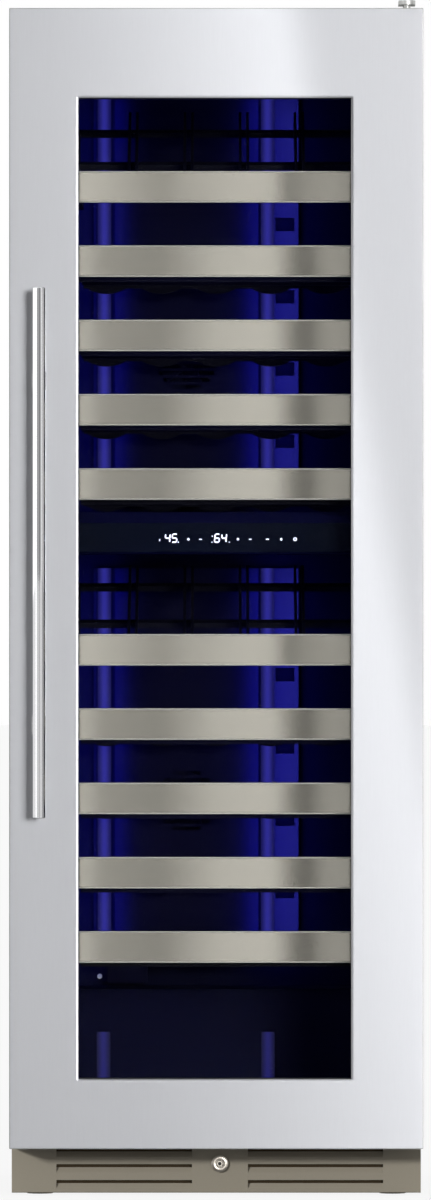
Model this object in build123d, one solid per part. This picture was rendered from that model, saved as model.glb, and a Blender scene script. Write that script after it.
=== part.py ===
"""Tall built-in wine cooler with two temperature zones, a glass door and ten sliding bottle shelves.

Millimetres. +Z is up, -Y is the front and +X is the hinge side. The origin is the centre of the
bounding box's footprint, on the floor.
"""
from build123d import *
from math import radians, sin, sqrt
import os

# ---------------------------------------------------------------- driving dimensions
# door leaf
DOOR_W = 595.0
DOOR_H = 1639.5
DOOR_T = 46.0
DOOR_BOTTOM = 69.0
DOOR_EDGE_R = 3.0
SKIN = 1.2
HANDLE_STILE = 99.5
HINGE_STILE = 103.5
TOP_RAIL = 129.0
BOTTOM_RAIL = 100.5

# glazing
PANE_T = 4.0
SPACER_T = 12.0
SPACER_W = 8.0
GLASS_LAP = 16.0
GLASS_FIT = 0.5

# handle
HANDLE_D = 18.5
HANDLE_LEN = 761.0
HANDLE_BOTTOM = 545.0
HANDLE_REACH = 55.0
HANDLE_INSET = 43.5
HANDLE_CHAMFER = 1.6
POST_W = 20.6
POST_H = 31.0
POST_R = 5.0
POST_INSET = 134.0
POST_SADDLE = 5.0

# cabinet shell
DOOR_OVERHANG = 2.5
CABINET_D = 560.0
TOP_REVEAL = 10.5
BASE_Z = 22.0
SHEET = 1.0
SEAL_GAP = 12.0
FRAME_T = 3.0
FRAME_BOTTOM = 82.0

# insulated cavity
LINER_T = 2.0
CAVITY_W = 464.0
CAVITY_FLOOR = 110.0
TOP_WALL = 58.0
BACK_FOAM = 72.0
STEP_D = 152.0
STEP_TOP = 285.0
STEP_FOAM = 35.0

# gasket
GASKET_W = 20.0
GASKET_LIP = 6.0
GASKET_BASE_T = 3.0
GASKET_NECK_T = 3.0
GASKET_NECK_IN = 5.0
GASKET_GAP = 0.3

# door hinge
PIN_D = 10.0
PIN_INSET = 23.0
PIN_SETBACK = 22.0
PIN_LEN = 24.0
PIN_FIT = 0.05
PIN_END_GAP = 2.0
BUSH_WALL = 2.5
ARM_T = 6.0
ARM_W = 24.0
LOWER_ARM_W = 18.0
ARM_GAP = 6.0
HINGE_FOOT_W = 56.0
HINGE_FOOT_D = 60.0
HINGE_STEP = 8.0
HINGE_FOOT_REACH = 20.5
LOWER_FOOT_SETBACK = 4.0
LOWER_FOOT_REACH = 17.5
NOTCH_W = 46.0
NOTCH_GAP = 2.0

# shelves
LANES = 5
SHELF_ROWS = 5
LANE = 81.0
SHELF_W = 410.0
SHELF_SETBACK = 30.0
UPPER_HEAD = 162.5
UPPER_TAIL = 63.3
LOWER_HEAD = 116.0
LOWER_TAIL = 94.8
FRONT_H = 46.0
FRONT_D = 18.0
FRONT_SHEET = 1.5
FRONT_R = 2.6
MEMBER_W = 8.0
MEMBER_INSET = 1.0
MEMBER_H = 24.0
MEMBER_LIFT = 4.0
MEMBER_LEN = 408.0
TONGUE_W = 12.0
TONGUE_H = 10.0
TONGUE_START = 22.0
CRADLE_LIFT = 6.0
SCALLOP_W = 58.0
SCALLOP_DEPTH = 8.0
BAR_H = 20.0
BAR_T = 10.0
REAR_BAR_INSET = 20.0
TIE_DROP = 1.0
FLOOR_BARS = 2

# tilted display racks
TILT_START_LIFT = 8.0
TILT_RISE = 112.0
TILT_LEN = 330.0
FIN_T = 4.0
FIN_H = 26.0
FIN_GAP = 7.0
CROSS_T = 14.0
CROSS_H = 8.0
CHEEK_T = 4.0

# slide rails
RAIL_REACH = 24.0
RAIL_H = 18.0
RAIL_LEN = 385.0
RAIL_FIT = 0.4
RAIL_SIDE_FIT = 0.5
RAIL_LAG = 3.0

# divider and control panel
PANEL_LIFT = 1.5
PANEL_H = 43.0
PANEL_D = 15.0
PANEL_R = 1.2
PANEL_SIDE_GAP = 2.0
DIVIDER_BOTTOM = 925.0
DIVIDER_T = 60.0

# air ducts, lights and evaporators
DUCT_X = -44.0
DUCT_W = 212.0
DUCT_D = 22.0
DUCT_PLATE_W = 304.0
DUCT_PLATE_X = -30.0
DUCT_WALL = 2.0
DUCT_GAP = 8.0
UPPER_DUCT_GAPS = (15.0, 36.0)
LOWER_DUCT_GAPS = (60.0, 20.0)
LIGHT_W = 20.0
LIGHT_D = 4.0
LIGHT_X = (-166.0, 76.0)
LOW_LIGHT_H = 100.0
LOW_LIGHT_BOTTOM = 122.0
VENT_W = 28.0
VENT_H = 20.0
VENT_X = 102.0
VENT_DROP = 6.0
HOOD_X = (-161.0, -102.0)
HOOD_LIFT = 6.0
HOOD_H = 37.0
HOOD_D = 47.0
HOOD_TAB = 24.0
FAN_R = 46.0
FAN_HUB_R = 15.0
FAN_T = 14.0
FAN_BLADES = 5
FAN_CHORD = 26.0
FAN_BLADE_T = 1.6
FAN_PITCH = 32.0
FAN_OFFSET = 3.0
FAN_TIP_GAP = 2.0
SHAFT_STOP = 2.0
MOTOR_GAP = 1.0
SHAFT_IN = 3.0
FAN_LIFT = 215.0
GRILLE_BAR = 4.0
GRILLE_SLOTS = 9
MOTOR_R = 14.0
SHAFT_R = 2.5
COIL_W = 170.0
COIL_H = 150.0
COIL_FINS = 9
COIL_FIN_T = 1.5
COIL_TUBE_R = 4.0
COIL_D = 14.0

# floor rack
FLOOR_RACK_GAP = 7.0
FLOOR_CRADLE = 119.0
FLOOR_BAR_T = 12.0

# machine compartment
COMPRESSOR_R = 72.0
COMPRESSOR_H = 180.0
COMPRESSOR_INSET = 125.0
COMPRESSOR_FOOT = 14.0
COMPRESSOR_PLATE = 3.0
CONDENSER_W = 175.0
CONDENSER_INSET = 60.0
CONDENSER_H = 170.0
CONDENSER_D = 110.0
CONDENSER_FINS = 12
CONDENSER_TUBE_R = 4.0
TUBE_END = 12.0
TUBE_PLACES = (0.25, 0.75)
CONDENSER_PLATE = 2.0
BIG_FAN_R = 62.0
BIG_FAN_HUB_R = 19.0
BIG_FAN_CHORD = 32.0
BIG_FAN_SETBACK = 30.0
SHROUD_T = 3.0
SHROUD_RIM = 6.0
SHROUD_END_GAP = 4.0
SPIDER_H = 10.0
BIG_MOTOR_R = 18.0
BIG_MOTOR_L = 10.0
GRILLE_MARGIN = 15.0
REAR_SLOTS = 9
REAR_SLOT_H = 6.0
REAR_SLOT_PITCH = 20.0
GLAND_D = 20.0
GLAND_BORE = 8.4
GLAND_L = 12.0

# kick plate and louvres
KICK_BOTTOM = 3.0
KICK_TOP = 72.0
KICK_T = 1.5
KICK_RETURN = 12.0
KICK_INSET = 3.0
LOUVRE_ROWS = 3
LOUVRE_PITCH = 22.6
LOUVRE_TOP = 68.4
LOUVRE_H = 9.6
LOUVRE_W = 194.6
LOUVRE_GAP = 81.0
LOUVRE_SHIFT = 5.0
LOUVRE_DEPTH = 6.0
LOUVRE_OPEN = 4.2

# lock
LOCK_Z = 45.0
LOCK_FLANGE_D = 24.0
LOCK_FLANGE_T = 3.0
LOCK_BODY_D = 19.0
LOCK_BODY_L = 20.0
LOCK_CHAMFER = 1.8
GUIDE_T = 3.0
GUIDE_HALF_H = 14.0
ROTOR_D = 12.0
ROTOR_FIT = 0.05
KEY_D = 3.6
KEY_DEPTH = 12.0
KEY_SLOT_W = 1.8
KEY_SLOT_H = 4.2
CRANK_R = 5.66
CRANK_ANGLE = 45.0
CRANK_PIN_D = 4.0
CRANK_PIN_PROUD = 1.0
CRANK_END_FIT = 0.5
CAM_T = 3.0
CAM_R = 8.7
BOLT_W = 18.0
BOLT_T = 3.0
BOLT_FIT = 0.4
BOLT_JOG = 16.0
BOLT_TAIL = 12.0
BOLT_TIP_DROP = 1.5
BOLT_TIP_W = 12.0
BOLT_TIP_T = 4.0
BOLT_SETBACK = 2.5
HOLE_FIT = 0.2
SLOT_FIT = 1.0
KEEPER_W = 40.0
KEEPER_T = 2.0
KEEPER_Z = 74.5
KEEPER_LIP = 5.0

# levelling feet
FOOT_INSET = 40.0
FOOT_SETBACK = 48.0
FOOT_R = 19.0
FOOT_T = 9.0
FOOT_SIDES = 12
STEM_D = 10.0
BOSS_D = 20.0
BOSS_H = 16.0

# screws
SCREW_HEAD_D = 8.0
SCREW_HEAD_H = 2.0
SCREW_EDGE_X = 14.0
SCREW_FRONT_Y = 16.0
SCREW_REAR_Y = 10.0

# ---------------------------------------------------------------- planes and lines worked out once
handle_front = -(HANDLE_REACH + DOOR_T + SEAL_GAP + CABINET_D) / 2
door_front = handle_front + HANDLE_REACH
door_back = door_front + DOOR_T
cabinet_front = door_back + SEAL_GAP
cabinet_back = cabinet_front + CABINET_D
wrap_front = cabinet_front + FRAME_T

door_x = DOOR_W / 2
door_top = DOOR_BOTTOM + DOOR_H
window_x = (-door_x + HANDLE_STILE, door_x - HINGE_STILE)
window_z = (DOOR_BOTTOM + BOTTOM_RAIL, door_top - TOP_RAIL)
glass_front = door_front + SKIN
glass_back = glass_front + 2 * PANE_T + SPACER_T

cabinet_x = door_x - DOOR_OVERHANG
cabinet_top = door_top - TOP_REVEAL
cavity_top = cabinet_top - TOP_WALL
cavity_x = CAVITY_W / 2
cavity_back = cabinet_back - SHEET - LINER_T - BACK_FOAM
step_front = cavity_back - STEP_D
foam_bottom = FRAME_BOTTOM + LINER_T
bay_front = step_front + LINER_T + STEP_FOAM
bay_top = STEP_TOP - LINER_T - STEP_FOAM
divider_top = DIVIDER_BOTTOM + DIVIDER_T
panel_z = (DIVIDER_BOTTOM + PANEL_LIFT, DIVIDER_BOTTOM + PANEL_LIFT + PANEL_H)
upper_row_ends = (cavity_top - UPPER_HEAD, divider_top + UPPER_TAIL)
lower_row_ends = (DIVIDER_BOTTOM - LOWER_HEAD, STEP_TOP + LOWER_TAIL)
upper_duct = (divider_top + UPPER_DUCT_GAPS[0], cavity_top - UPPER_DUCT_GAPS[1])
lower_duct = (STEP_TOP + LOWER_DUCT_GAPS[0], DIVIDER_BOTTOM - LOWER_DUCT_GAPS[1])
upper_fan_z = upper_duct[0] + FAN_LIFT
lower_fan_z = lower_duct[0] + FAN_LIFT
hood_z = (STEP_TOP + HOOD_LIFT, STEP_TOP + HOOD_LIFT + HOOD_H)

pin_x = door_x - PIN_INSET
pin_y = door_front + PIN_SETBACK
shelf_x = SHELF_W / 2
shelf_front = door_back + SHELF_SETBACK
member_x = shelf_x - MEMBER_W - MEMBER_INSET
member_outer = member_x + MEMBER_W
member_front = shelf_front + FRONT_SHEET
member_back = member_front + MEMBER_LEN
duct_plate = cavity_back - DUCT_GAP - DUCT_WALL
duct_face = duct_plate - DUCT_D
lock_x = LOUVRE_SHIFT
compressor_x = -cabinet_x + COMPRESSOR_INSET
condenser_x = (cabinet_x - CONDENSER_INSET - CONDENSER_W, cabinet_x - CONDENSER_INSET)
kick_front = wrap_front - KICK_T


# ---------------------------------------------------------------- small helpers
def block(x, y, z):
    """A box from (low, high) pairs along the three axes."""
    size = [high - low for low, high in (x, y, z)]
    centre = [(low + high) / 2 for low, high in (x, y, z)]
    return Pos(*centre) * Box(*size)


def both(half):
    """The (low, high) pair of a span centred on zero."""
    return (-half, half)


def rod(start, end, radius):
    """A cylinder between two points that differ along one axis only."""
    path = Vector(*end) - Vector(*start)
    plane = Plane(origin=start, z_dir=path)
    return extrude(plane * Circle(radius), amount=path.length)


def profile_x(points, x):
    """A polygon of (y, z) points extruded along X between two values."""
    outline = Polyline([(x[0], y, z) for y, z in points], close=True)
    return extrude(make_face(outline), amount=x[1] - x[0], dir=(1, 0, 0))


def profile_y(points, y):
    """A polygon of (x, z) points extruded along Y between two values."""
    outline = Polyline([(x, y[0], z) for x, z in points], close=True)
    return extrude(make_face(outline), amount=y[1] - y[0], dir=(0, 1, 0))


def mirrored(shape):
    """A shape and its mirror image across the YZ plane."""
    return [shape, mirror(shape, about=Plane.YZ)]


def scalloped(level, half):
    """Edge points of one scalloped edge from -half to half: a flat between bottles, an arc under each."""
    edges = []
    x = -half
    for lane in range(LANES):
        centre = (lane - (LANES - 1) / 2) * LANE
        start, end = centre - SCALLOP_W / 2, centre + SCALLOP_W / 2
        edges.append(((x, level), (start, level)))
        edges.append(((start, level), (centre, level - SCALLOP_DEPTH), (end, level)))
        x = end
    return edges + [((x, level), (half, level))]


def scalloped_bar(crest, y, half, lower_edge=True):
    """A cross bar with a scallop under each bottle along its top and, where asked, its lower edge too."""
    edges = scalloped(crest, half)
    low = crest - BAR_H
    edges += scalloped(low, half) if lower_edge else [((-half, low), (half, low))]
    edges += [((x, low), (x, crest)) for x in both(half)]
    lines = []
    for points in edges:
        placed = [(x, y[0], z) for x, z in points]
        lines.append(Edge.make_three_point_arc(*placed) if len(placed) == 3 else Edge.make_line(*placed))
    return extrude(make_face(Wire.combine(lines)[0]), amount=y[1] - y[0], dir=(0, 1, 0))


def bladed_rotor(radius, hub_r, depth, chord, bore_r):
    """An axial fan rotor on the Z axis, from z = 0 up: a hub, pitched blades and a bore for the shaft."""
    rotor = extrude(Circle(hub_r), amount=depth)
    tip = sqrt(radius**2 - (chord / 2) ** 2)
    blade = Rot(FAN_PITCH, 0, 0) * Box(tip, chord, FAN_BLADE_T)
    for turn in range(FAN_BLADES):
        rotor += Rot(0, 0, turn * 360 / FAN_BLADES) * Pos(tip / 2, 0, depth / 2) * blade
    rotor = rotor & extrude(RegularPolygon(2 * radius, 4), amount=depth)
    return rotor - extrude(Circle(bore_r), amount=depth - SHAFT_STOP)


def write(name, *shapes):
    """Write one named sub-part, holding every solid of the given shapes."""
    solids = [solid for shape in shapes for solid in shape.solids()]
    export_step(Compound(solids), f"parts/{name}.step")


# ---------------------------------------------------------------- cabinet
def make_wrap():
    """Folded steel sides and top."""
    outer = block(both(cabinet_x), (wrap_front, cabinet_back - SHEET), (BASE_Z, cabinet_top))
    inner = block(both(cabinet_x - SHEET), (wrap_front, cabinet_back - SHEET), (BASE_Z, cabinet_top - SHEET))
    return outer - inner


def make_back_panel():
    """Plain rear sheet above the machine compartment."""
    return block(both(cabinet_x), (cabinet_back - SHEET, cabinet_back), (bay_top, cabinet_top))


def stepped_profile(offset):
    """The cavity's side outline as (y, z) points, moved out from the cavity by an offset."""
    return [
        (wrap_front, CAVITY_FLOOR - offset),
        (step_front + offset, CAVITY_FLOOR - offset),
        (step_front + offset, STEP_TOP - offset),
        (cavity_back + offset, STEP_TOP - offset),
        (cavity_back + offset, cavity_top + offset),
        (wrap_front, cavity_top + offset),
    ]


def make_liner():
    """Moulded inner liner, stepped over the machine compartment and open at the front."""
    shell = profile_x(stepped_profile(LINER_T), both(cavity_x + LINER_T))
    return shell - profile_x(stepped_profile(0), both(cavity_x))


def make_foam():
    """Foamed-in-place insulation between the liner, the wrap and the base deck."""
    fill_x = cabinet_x - SHEET
    outline = [
        (wrap_front, foam_bottom),
        (bay_front, foam_bottom),
        (bay_front, bay_top),
        (cabinet_back - SHEET, bay_top),
        (cabinet_back - SHEET, cabinet_top - SHEET),
        (wrap_front, cabinet_top - SHEET),
    ]
    return profile_x(outline, both(fill_x)) - profile_x(stepped_profile(LINER_T), both(cavity_x + LINER_T))


def make_front_frame():
    """Steel face frame that the magnetic gasket closes on."""
    frame = block(both(cabinet_x), (cabinet_front, wrap_front), (FRAME_BOTTOM, cabinet_top))
    return frame - block(both(cavity_x), (cabinet_front, wrap_front), (CAVITY_FLOOR, cavity_top))


def make_base():
    """Welded base: floor tray, side flanges, stepped deck under the foam and threaded foot bosses."""
    side = cabinet_x - SHEET
    back = cabinet_back - SHEET
    deck = 2 * SHEET
    tray = block(both(side), (wrap_front, back), (BASE_Z, BASE_Z + deck))
    wall = bay_front + deck
    flange = block((side - deck, side), (wrap_front, wall), (BASE_Z + deck, foam_bottom - deck))
    rear_flange = block((side - deck, side), (wall, back), (BASE_Z + deck, bay_top - deck))
    deck_outline = [
        (wrap_front, foam_bottom - deck),
        (wall, foam_bottom - deck),
        (wall, bay_top - deck),
        (back, bay_top - deck),
        (back, bay_top),
        (bay_front, bay_top),
        (bay_front, foam_bottom),
        (wrap_front, foam_bottom),
    ]
    base = tray + profile_x(deck_outline, both(side))
    for piece in mirrored(flange) + mirrored(rear_flange):
        base += piece
    for x, y in foot_places().values():
        base += rod((x, y, BASE_Z), (x, y, BASE_Z + BOSS_H), BOSS_D / 2)
        base -= rod((x, y, BASE_Z - 1), (x, y, BASE_Z + BOSS_H + 1), STEM_D / 2 + PIN_FIT)
    return base


def foot_places():
    """Name and place of each levelling foot."""
    x = cabinet_x - FOOT_INSET
    front, rear = wrap_front + FOOT_SETBACK, cabinet_back - FOOT_SETBACK
    return {"front_left": (-x, front), "front_right": (x, front), "rear_left": (-x, rear), "rear_right": (x, rear)}


def make_foot(x, y):
    """Levelling foot: a moulded twelve-sided pad, turned by hand or spanner, on a threaded stem."""
    pad = Pos(x, y, 0) * extrude(RegularPolygon(FOOT_R, FOOT_SIDES), amount=FOOT_T)
    return pad + rod((x, y, FOOT_T), (x, y, BASE_Z + BOSS_H - 1), STEM_D / 2)


# ---------------------------------------------------------------- divider, controls, air and light
def make_divider():
    """Insulated partition between the zones, full width and depth of the cavity."""
    front = shelf_front + PANEL_D
    outline = [
        (front, DIVIDER_BOTTOM),
        (duct_plate, DIVIDER_BOTTOM),
        (duct_plate, divider_top),
        (front + PANEL_D, divider_top),
        (front, panel_z[1]),
    ]
    return profile_x(outline, both(cavity_x))


def make_panel():
    """Black glass control panel on the partition's front edge."""
    panel = block(both(cavity_x - PANEL_SIDE_GAP), (shelf_front, shelf_front + PANEL_D), panel_z)
    return fillet(panel.edges().filter_by(Axis.X).group_by(Axis.Y)[0], PANEL_R)


def shelf_tops(row_ends):
    """Heights of the top edges of one zone's shelf fronts, spread evenly from its first row down to its last."""
    first, last = row_ends
    return [first - (first - last) * row / (SHELF_ROWS - 1) for row in range(SHELF_ROWS)]


def make_duct(z, row_ends, fan_z):
    """Air duct cover: a backing plate, a raised middle, an intake grille and a vent at every shelf."""
    plate_x = (DUCT_PLATE_X - DUCT_PLATE_W / 2, DUCT_PLATE_X + DUCT_PLATE_W / 2)
    middle_x = (DUCT_X - DUCT_W / 2, DUCT_X + DUCT_W / 2)
    outer = block(plate_x, (duct_plate, cavity_back), z) + block(middle_x, (duct_face, cavity_back), z)
    inset = [(low + DUCT_WALL, high - DUCT_WALL) for low, high in (plate_x, middle_x, z)]
    hollow = block(inset[0], (duct_plate + DUCT_WALL, cavity_back), inset[2])
    hollow += block(inset[1], (duct_face + DUCT_WALL, cavity_back), inset[2])
    duct = outer - hollow
    wall = (duct_face, duct_face + DUCT_WALL)
    span = 2 * FAN_R
    pitch = span / GRILLE_SLOTS
    for slot in range(GRILLE_SLOTS):
        low = fan_z - FAN_R + slot * pitch
        reach = sqrt(FAN_R**2 - (low + pitch / 2 - fan_z) ** 2)
        duct -= block((DUCT_X - reach, DUCT_X + reach), wall, (low + GRILLE_BAR / 2, low + pitch - GRILLE_BAR / 2))
    for top in shelf_tops(row_ends):
        high = top - FRONT_H - VENT_DROP
        if high - VENT_H > z[0] + DUCT_WALL:
            vent_x = (VENT_X - VENT_W / 2, VENT_X + VENT_W / 2)
            duct -= block(vent_x, (duct_plate, duct_plate + DUCT_WALL), (high - VENT_H, high))
    return duct


def make_hood():
    """Return-air hood under the lower duct, with a screw tab."""
    hood = block(HOOD_X, (cavity_back - HOOD_D, cavity_back), hood_z)
    hollow_x = (HOOD_X[0] + DUCT_WALL, HOOD_X[1] - DUCT_WALL)
    hood -= block(hollow_x, (cavity_back - HOOD_D + DUCT_WALL, cavity_back), (hood_z[0], hood_z[1] - DUCT_WALL))
    tab = block((HOOD_X[0] - HOOD_TAB, HOOD_X[0]), (cavity_back - DUCT_WALL, cavity_back), hood_z)
    return hood + tab


def make_lights():
    """Blue light bars: two beside each duct and two short ones above the floor row."""
    bars = []
    for x in LIGHT_X:
        span = (x - LIGHT_W / 2, x + LIGHT_W / 2)
        for z in (upper_duct, lower_duct):
            bars.append(block(span, (duct_plate - LIGHT_D, duct_plate), z))
        low = (LOW_LIGHT_BOTTOM, LOW_LIGHT_BOTTOM + LOW_LIGHT_H)
        bars.append(block(span, (step_front - LIGHT_D, step_front), low))
    return bars


def make_evaporator(fan_z, floor_z):
    """Finned evaporator coil and fan motor behind one duct cover."""
    back = cavity_back
    front = back - COIL_D
    coil_x = (DUCT_X - COIL_W / 2, DUCT_X + COIL_W / 2)
    z = (floor_z, floor_z + COIL_H)
    pieces = []
    fin_pitch = (COIL_W - COIL_FIN_T) / (COIL_FINS - 1)
    coil = block(coil_x, (back - COIL_FIN_T, back), z)
    for fin in range(COIL_FINS):
        x = coil_x[0] + fin * fin_pitch
        coil += block((x, x + COIL_FIN_T), (front, back), z)
    tube_y = (front + back) / 2
    for share in TUBE_PLACES:
        tube_z = z[0] + COIL_H * share
        coil += rod((coil_x[0] - TUBE_END, tube_y, tube_z), (coil_x[0], tube_y, tube_z), COIL_TUBE_R)
    pieces.append(coil)
    motor_front = duct_face + DUCT_WALL + FAN_OFFSET + FAN_T
    motor = rod((DUCT_X, motor_front + MOTOR_GAP, fan_z), (DUCT_X, back, fan_z), MOTOR_R)
    shaft_end = motor_front - FAN_T + SHAFT_IN
    motor += rod((DUCT_X, shaft_end, fan_z), (DUCT_X, motor_front + MOTOR_GAP, fan_z), SHAFT_R)
    pieces.append(motor)
    return pieces


def make_evaporator_fan(fan_z):
    """Evaporator fan rotor, facing the intake grille."""
    rotor = bladed_rotor(FAN_R - FAN_TIP_GAP, FAN_HUB_R, FAN_T, FAN_CHORD, SHAFT_R + PIN_FIT)
    turned = Rot(90, 0, 0) * rotor
    return Pos(DUCT_X, duct_face + DUCT_WALL + FAN_OFFSET + FAN_T, fan_z) * turned


# ---------------------------------------------------------------- shelves and their rails
def make_shelf_front(top):
    """Brushed stainless front: a rolled channel with rounded lips along its top and bottom."""
    z = (top - FRONT_H, top)
    bar = block(both(shelf_x), (shelf_front, shelf_front + FRONT_D), z)
    bar = fillet(bar.edges().filter_by(Axis.X).group_by(Axis.Y)[0], FRONT_R)
    inner_z = (z[0] + FRONT_SHEET, z[1] - FRONT_SHEET)
    return bar - block(both(shelf_x), (shelf_front + FRONT_SHEET, shelf_front + FRONT_D), inner_z)


def side_member(bottom):
    """One side member of a rack with the tongue that runs in the slide rail."""
    z = (bottom + MEMBER_LIFT, bottom + MEMBER_LIFT + MEMBER_H)
    centre = (z[0] + z[1]) / 2
    bar = block((member_x, member_outer), (member_front, member_back), z)
    tongue_y = (member_front + TONGUE_START, member_back)
    return bar + block(
        (member_outer, member_outer + TONGUE_W), tongue_y, (centre - TONGUE_H / 2, centre + TONGUE_H / 2))


def make_flat_rack(top):
    """Flat bottle rack: two side members, a plain tie and two scalloped bars, for bodies and necks."""
    bottom = top - FRONT_H
    crest = bottom + CRADLE_LIFT + SCALLOP_DEPTH
    solids = mirrored(side_member(bottom))
    front = member_front + FRONT_D
    rear = member_back - REAR_BAR_INSET
    solids.append(scalloped_bar(crest, (front, front + BAR_T), member_x, lower_edge=False))
    solids.append(scalloped_bar(crest, (rear - BAR_T, rear), member_x))
    tie_y = (front + rear) / 2
    tie_z = (crest - BAR_H, crest - SCALLOP_DEPTH - TIE_DROP)
    solids.append(block(both(member_x), (tie_y - BAR_T / 2, tie_y + BAR_T / 2), tie_z))
    return solids


def make_tilted_rack(top):
    """Display rack: bottles lie tilted on cross bars, between pairs of dark upright slats."""
    bottom = top - FRONT_H
    start = (member_front + FRONT_D, bottom + TILT_START_LIFT)
    slope = TILT_RISE / TILT_LEN
    end = (start[0] + TILT_LEN, start[1] + TILT_RISE)
    member_top = bottom + MEMBER_LIFT + MEMBER_H
    solids = mirrored(side_member(bottom))
    cheek = [
        (start[0] + (member_top - start[1]) / slope, member_top),
        (end[0], member_top),
        (end[0], end[1]),
    ]
    solids += mirrored(profile_x(cheek, (member_outer - CHEEK_T, member_outer)))
    fin = [start, end, (end[0], end[1] + FIN_H), (start[0], start[1] + FIN_H)]
    for divider in range(LANES - 1):
        x = (divider - (LANES - 2) / 2) * LANE
        for side in (-1, 1):
            centre = x + side * (FIN_GAP + FIN_T) / 2
            solids.append(profile_x(fin, (centre - FIN_T / 2, centre + FIN_T / 2)))
    for share in (0.0, 0.5, 1.0):
        y = start[0] + share * (TILT_LEN - CROSS_T)
        z = start[1] + (y - start[0]) * slope
        bar = [(y, z - CROSS_H), (y + CROSS_T, z + CROSS_T * slope - CROSS_H), (y + CROSS_T, z + CROSS_T * slope), (y, z)]
        half = member_x if share == 0.0 else member_outer - CHEEK_T
        solids.append(profile_x(bar, both(half)))
    return solids


def make_rails():
    """Fixed slide rails, one grooved bar on each wall for every shelf."""
    rails = []
    face = cavity_x - RAIL_REACH
    start = member_front + TONGUE_START + RAIL_LAG
    for top in shelf_tops(upper_row_ends) + shelf_tops(lower_row_ends):
        centre = top - FRONT_H + MEMBER_LIFT + MEMBER_H / 2
        y = (start, start + RAIL_LEN)
        rail = block((face, cavity_x), y, (centre - RAIL_H / 2, centre + RAIL_H / 2))
        groove = TONGUE_H / 2 + RAIL_FIT
        depth = member_outer + TONGUE_W + RAIL_SIDE_FIT
        rail -= block((face, depth), y, (centre - groove, centre + groove))
        rails += mirrored(rail)
    return rails


def make_floor_rack():
    """Rack on the cavity floor for the bottom row: runners and scalloped cross bars."""
    front = shelf_front + FRONT_D
    back = step_front - FLOOR_RACK_GAP
    crest = FLOOR_CRADLE + SCALLOP_DEPTH
    runner = block((member_x, member_outer), (front, back), (CAVITY_FLOOR, FLOOR_CRADLE))
    solids = mirrored(runner)
    spacing = (back - front - FLOOR_BAR_T) / (FLOOR_BARS - 1)
    for bar in range(FLOOR_BARS):
        y = (front + bar * spacing, front + bar * spacing + FLOOR_BAR_T)
        cradle = scalloped_bar(crest, y, member_x, lower_edge=False)
        solids.append(cradle & block(both(member_x), y, (CAVITY_FLOOR, crest + 1)))
    return solids


# ---------------------------------------------------------------- machine compartment
def make_compressor():
    """Hermetic compressor: a steel can with a coned lid on a plate with four rubber feet."""
    floor = BASE_Z + 2 * SHEET
    y = (bay_front + cabinet_back) / 2
    low = floor + COMPRESSOR_FOOT
    base = low + COMPRESSOR_PLATE
    can = rod((compressor_x, y, base), (compressor_x, y, base + COMPRESSOR_H), COMPRESSOR_R)
    can = chamfer(can.edges().filter_by(GeomType.CIRCLE).sort_by(Axis.Z)[-1], COMPRESSOR_R / 3)
    x_span = (compressor_x - COMPRESSOR_R, compressor_x + COMPRESSOR_R)
    body = can + block(x_span, (y - COMPRESSOR_R, y + COMPRESSOR_R), (low, base))
    half = COMPRESSOR_FOOT / 2
    corner = COMPRESSOR_R - COMPRESSOR_FOOT
    for dx in both(corner):
        for dy in both(corner):
            x, foot_y = compressor_x + dx, y + dy
            body += block((x - half, x + half), (foot_y - half, foot_y + half), (floor, low))
    return body


def make_condenser():
    """Fin-and-tube condenser with a shroud that carries the fan motor."""
    floor = BASE_Z + 2 * SHEET
    y0 = (bay_front + cabinet_back) / 2 - CONDENSER_D / 2
    y = (y0, y0 + CONDENSER_D)
    z = (floor, floor + CONDENSER_H)
    pitch = (condenser_x[1] - condenser_x[0] - COIL_FIN_T) / (CONDENSER_FINS - 1)
    body = block(condenser_x, y, (floor, floor + CONDENSER_PLATE))
    for fin in range(CONDENSER_FINS):
        x = condenser_x[0] + fin * pitch
        body += block((x, x + COIL_FIN_T), y, z)
    tube_x = (condenser_x[1], condenser_x[1] + TUBE_END)
    for share in TUBE_PLACES:
        tube_y, tube_z = y[0] + CONDENSER_D / 2, z[0] + CONDENSER_H * share
        body += rod((tube_x[0], tube_y, tube_z), (tube_x[1], tube_y, tube_z), CONDENSER_TUBE_R)
    fan_x, fan_y, fan_z = big_fan_centre()
    shroud_x = (fan_x - FAN_T / 2 - SHROUD_END_GAP, fan_x + FAN_T / 2 + SHROUD_END_GAP)
    frame_half = BIG_FAN_R + SHROUD_RIM
    shroud = block(shroud_x, (fan_y - frame_half, fan_y + frame_half), (floor, fan_z + frame_half))
    shroud -= rod((shroud_x[0], fan_y, fan_z), (shroud_x[1], fan_y, fan_z), BIG_FAN_R + FAN_TIP_GAP)
    spider_x = (shroud_x[1] - SHROUD_T, shroud_x[1])
    shroud += block(spider_x, (fan_y - frame_half, fan_y + frame_half), (fan_z - SPIDER_H / 2, fan_z + SPIDER_H / 2))
    shroud += rod((spider_x[0], fan_y, fan_z), (spider_x[1] + BIG_MOTOR_L, fan_y, fan_z), BIG_MOTOR_R)
    shroud += rod((fan_x - FAN_T / 2 + SHAFT_IN, fan_y, fan_z), (spider_x[0], fan_y, fan_z), SHAFT_R)
    return [body, shroud]


def big_fan_centre():
    """Centre of the condenser fan."""
    floor = BASE_Z + 2 * SHEET
    return (condenser_x[0] - BIG_FAN_SETBACK, (bay_front + cabinet_back) / 2, floor + CONDENSER_H / 2)


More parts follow.
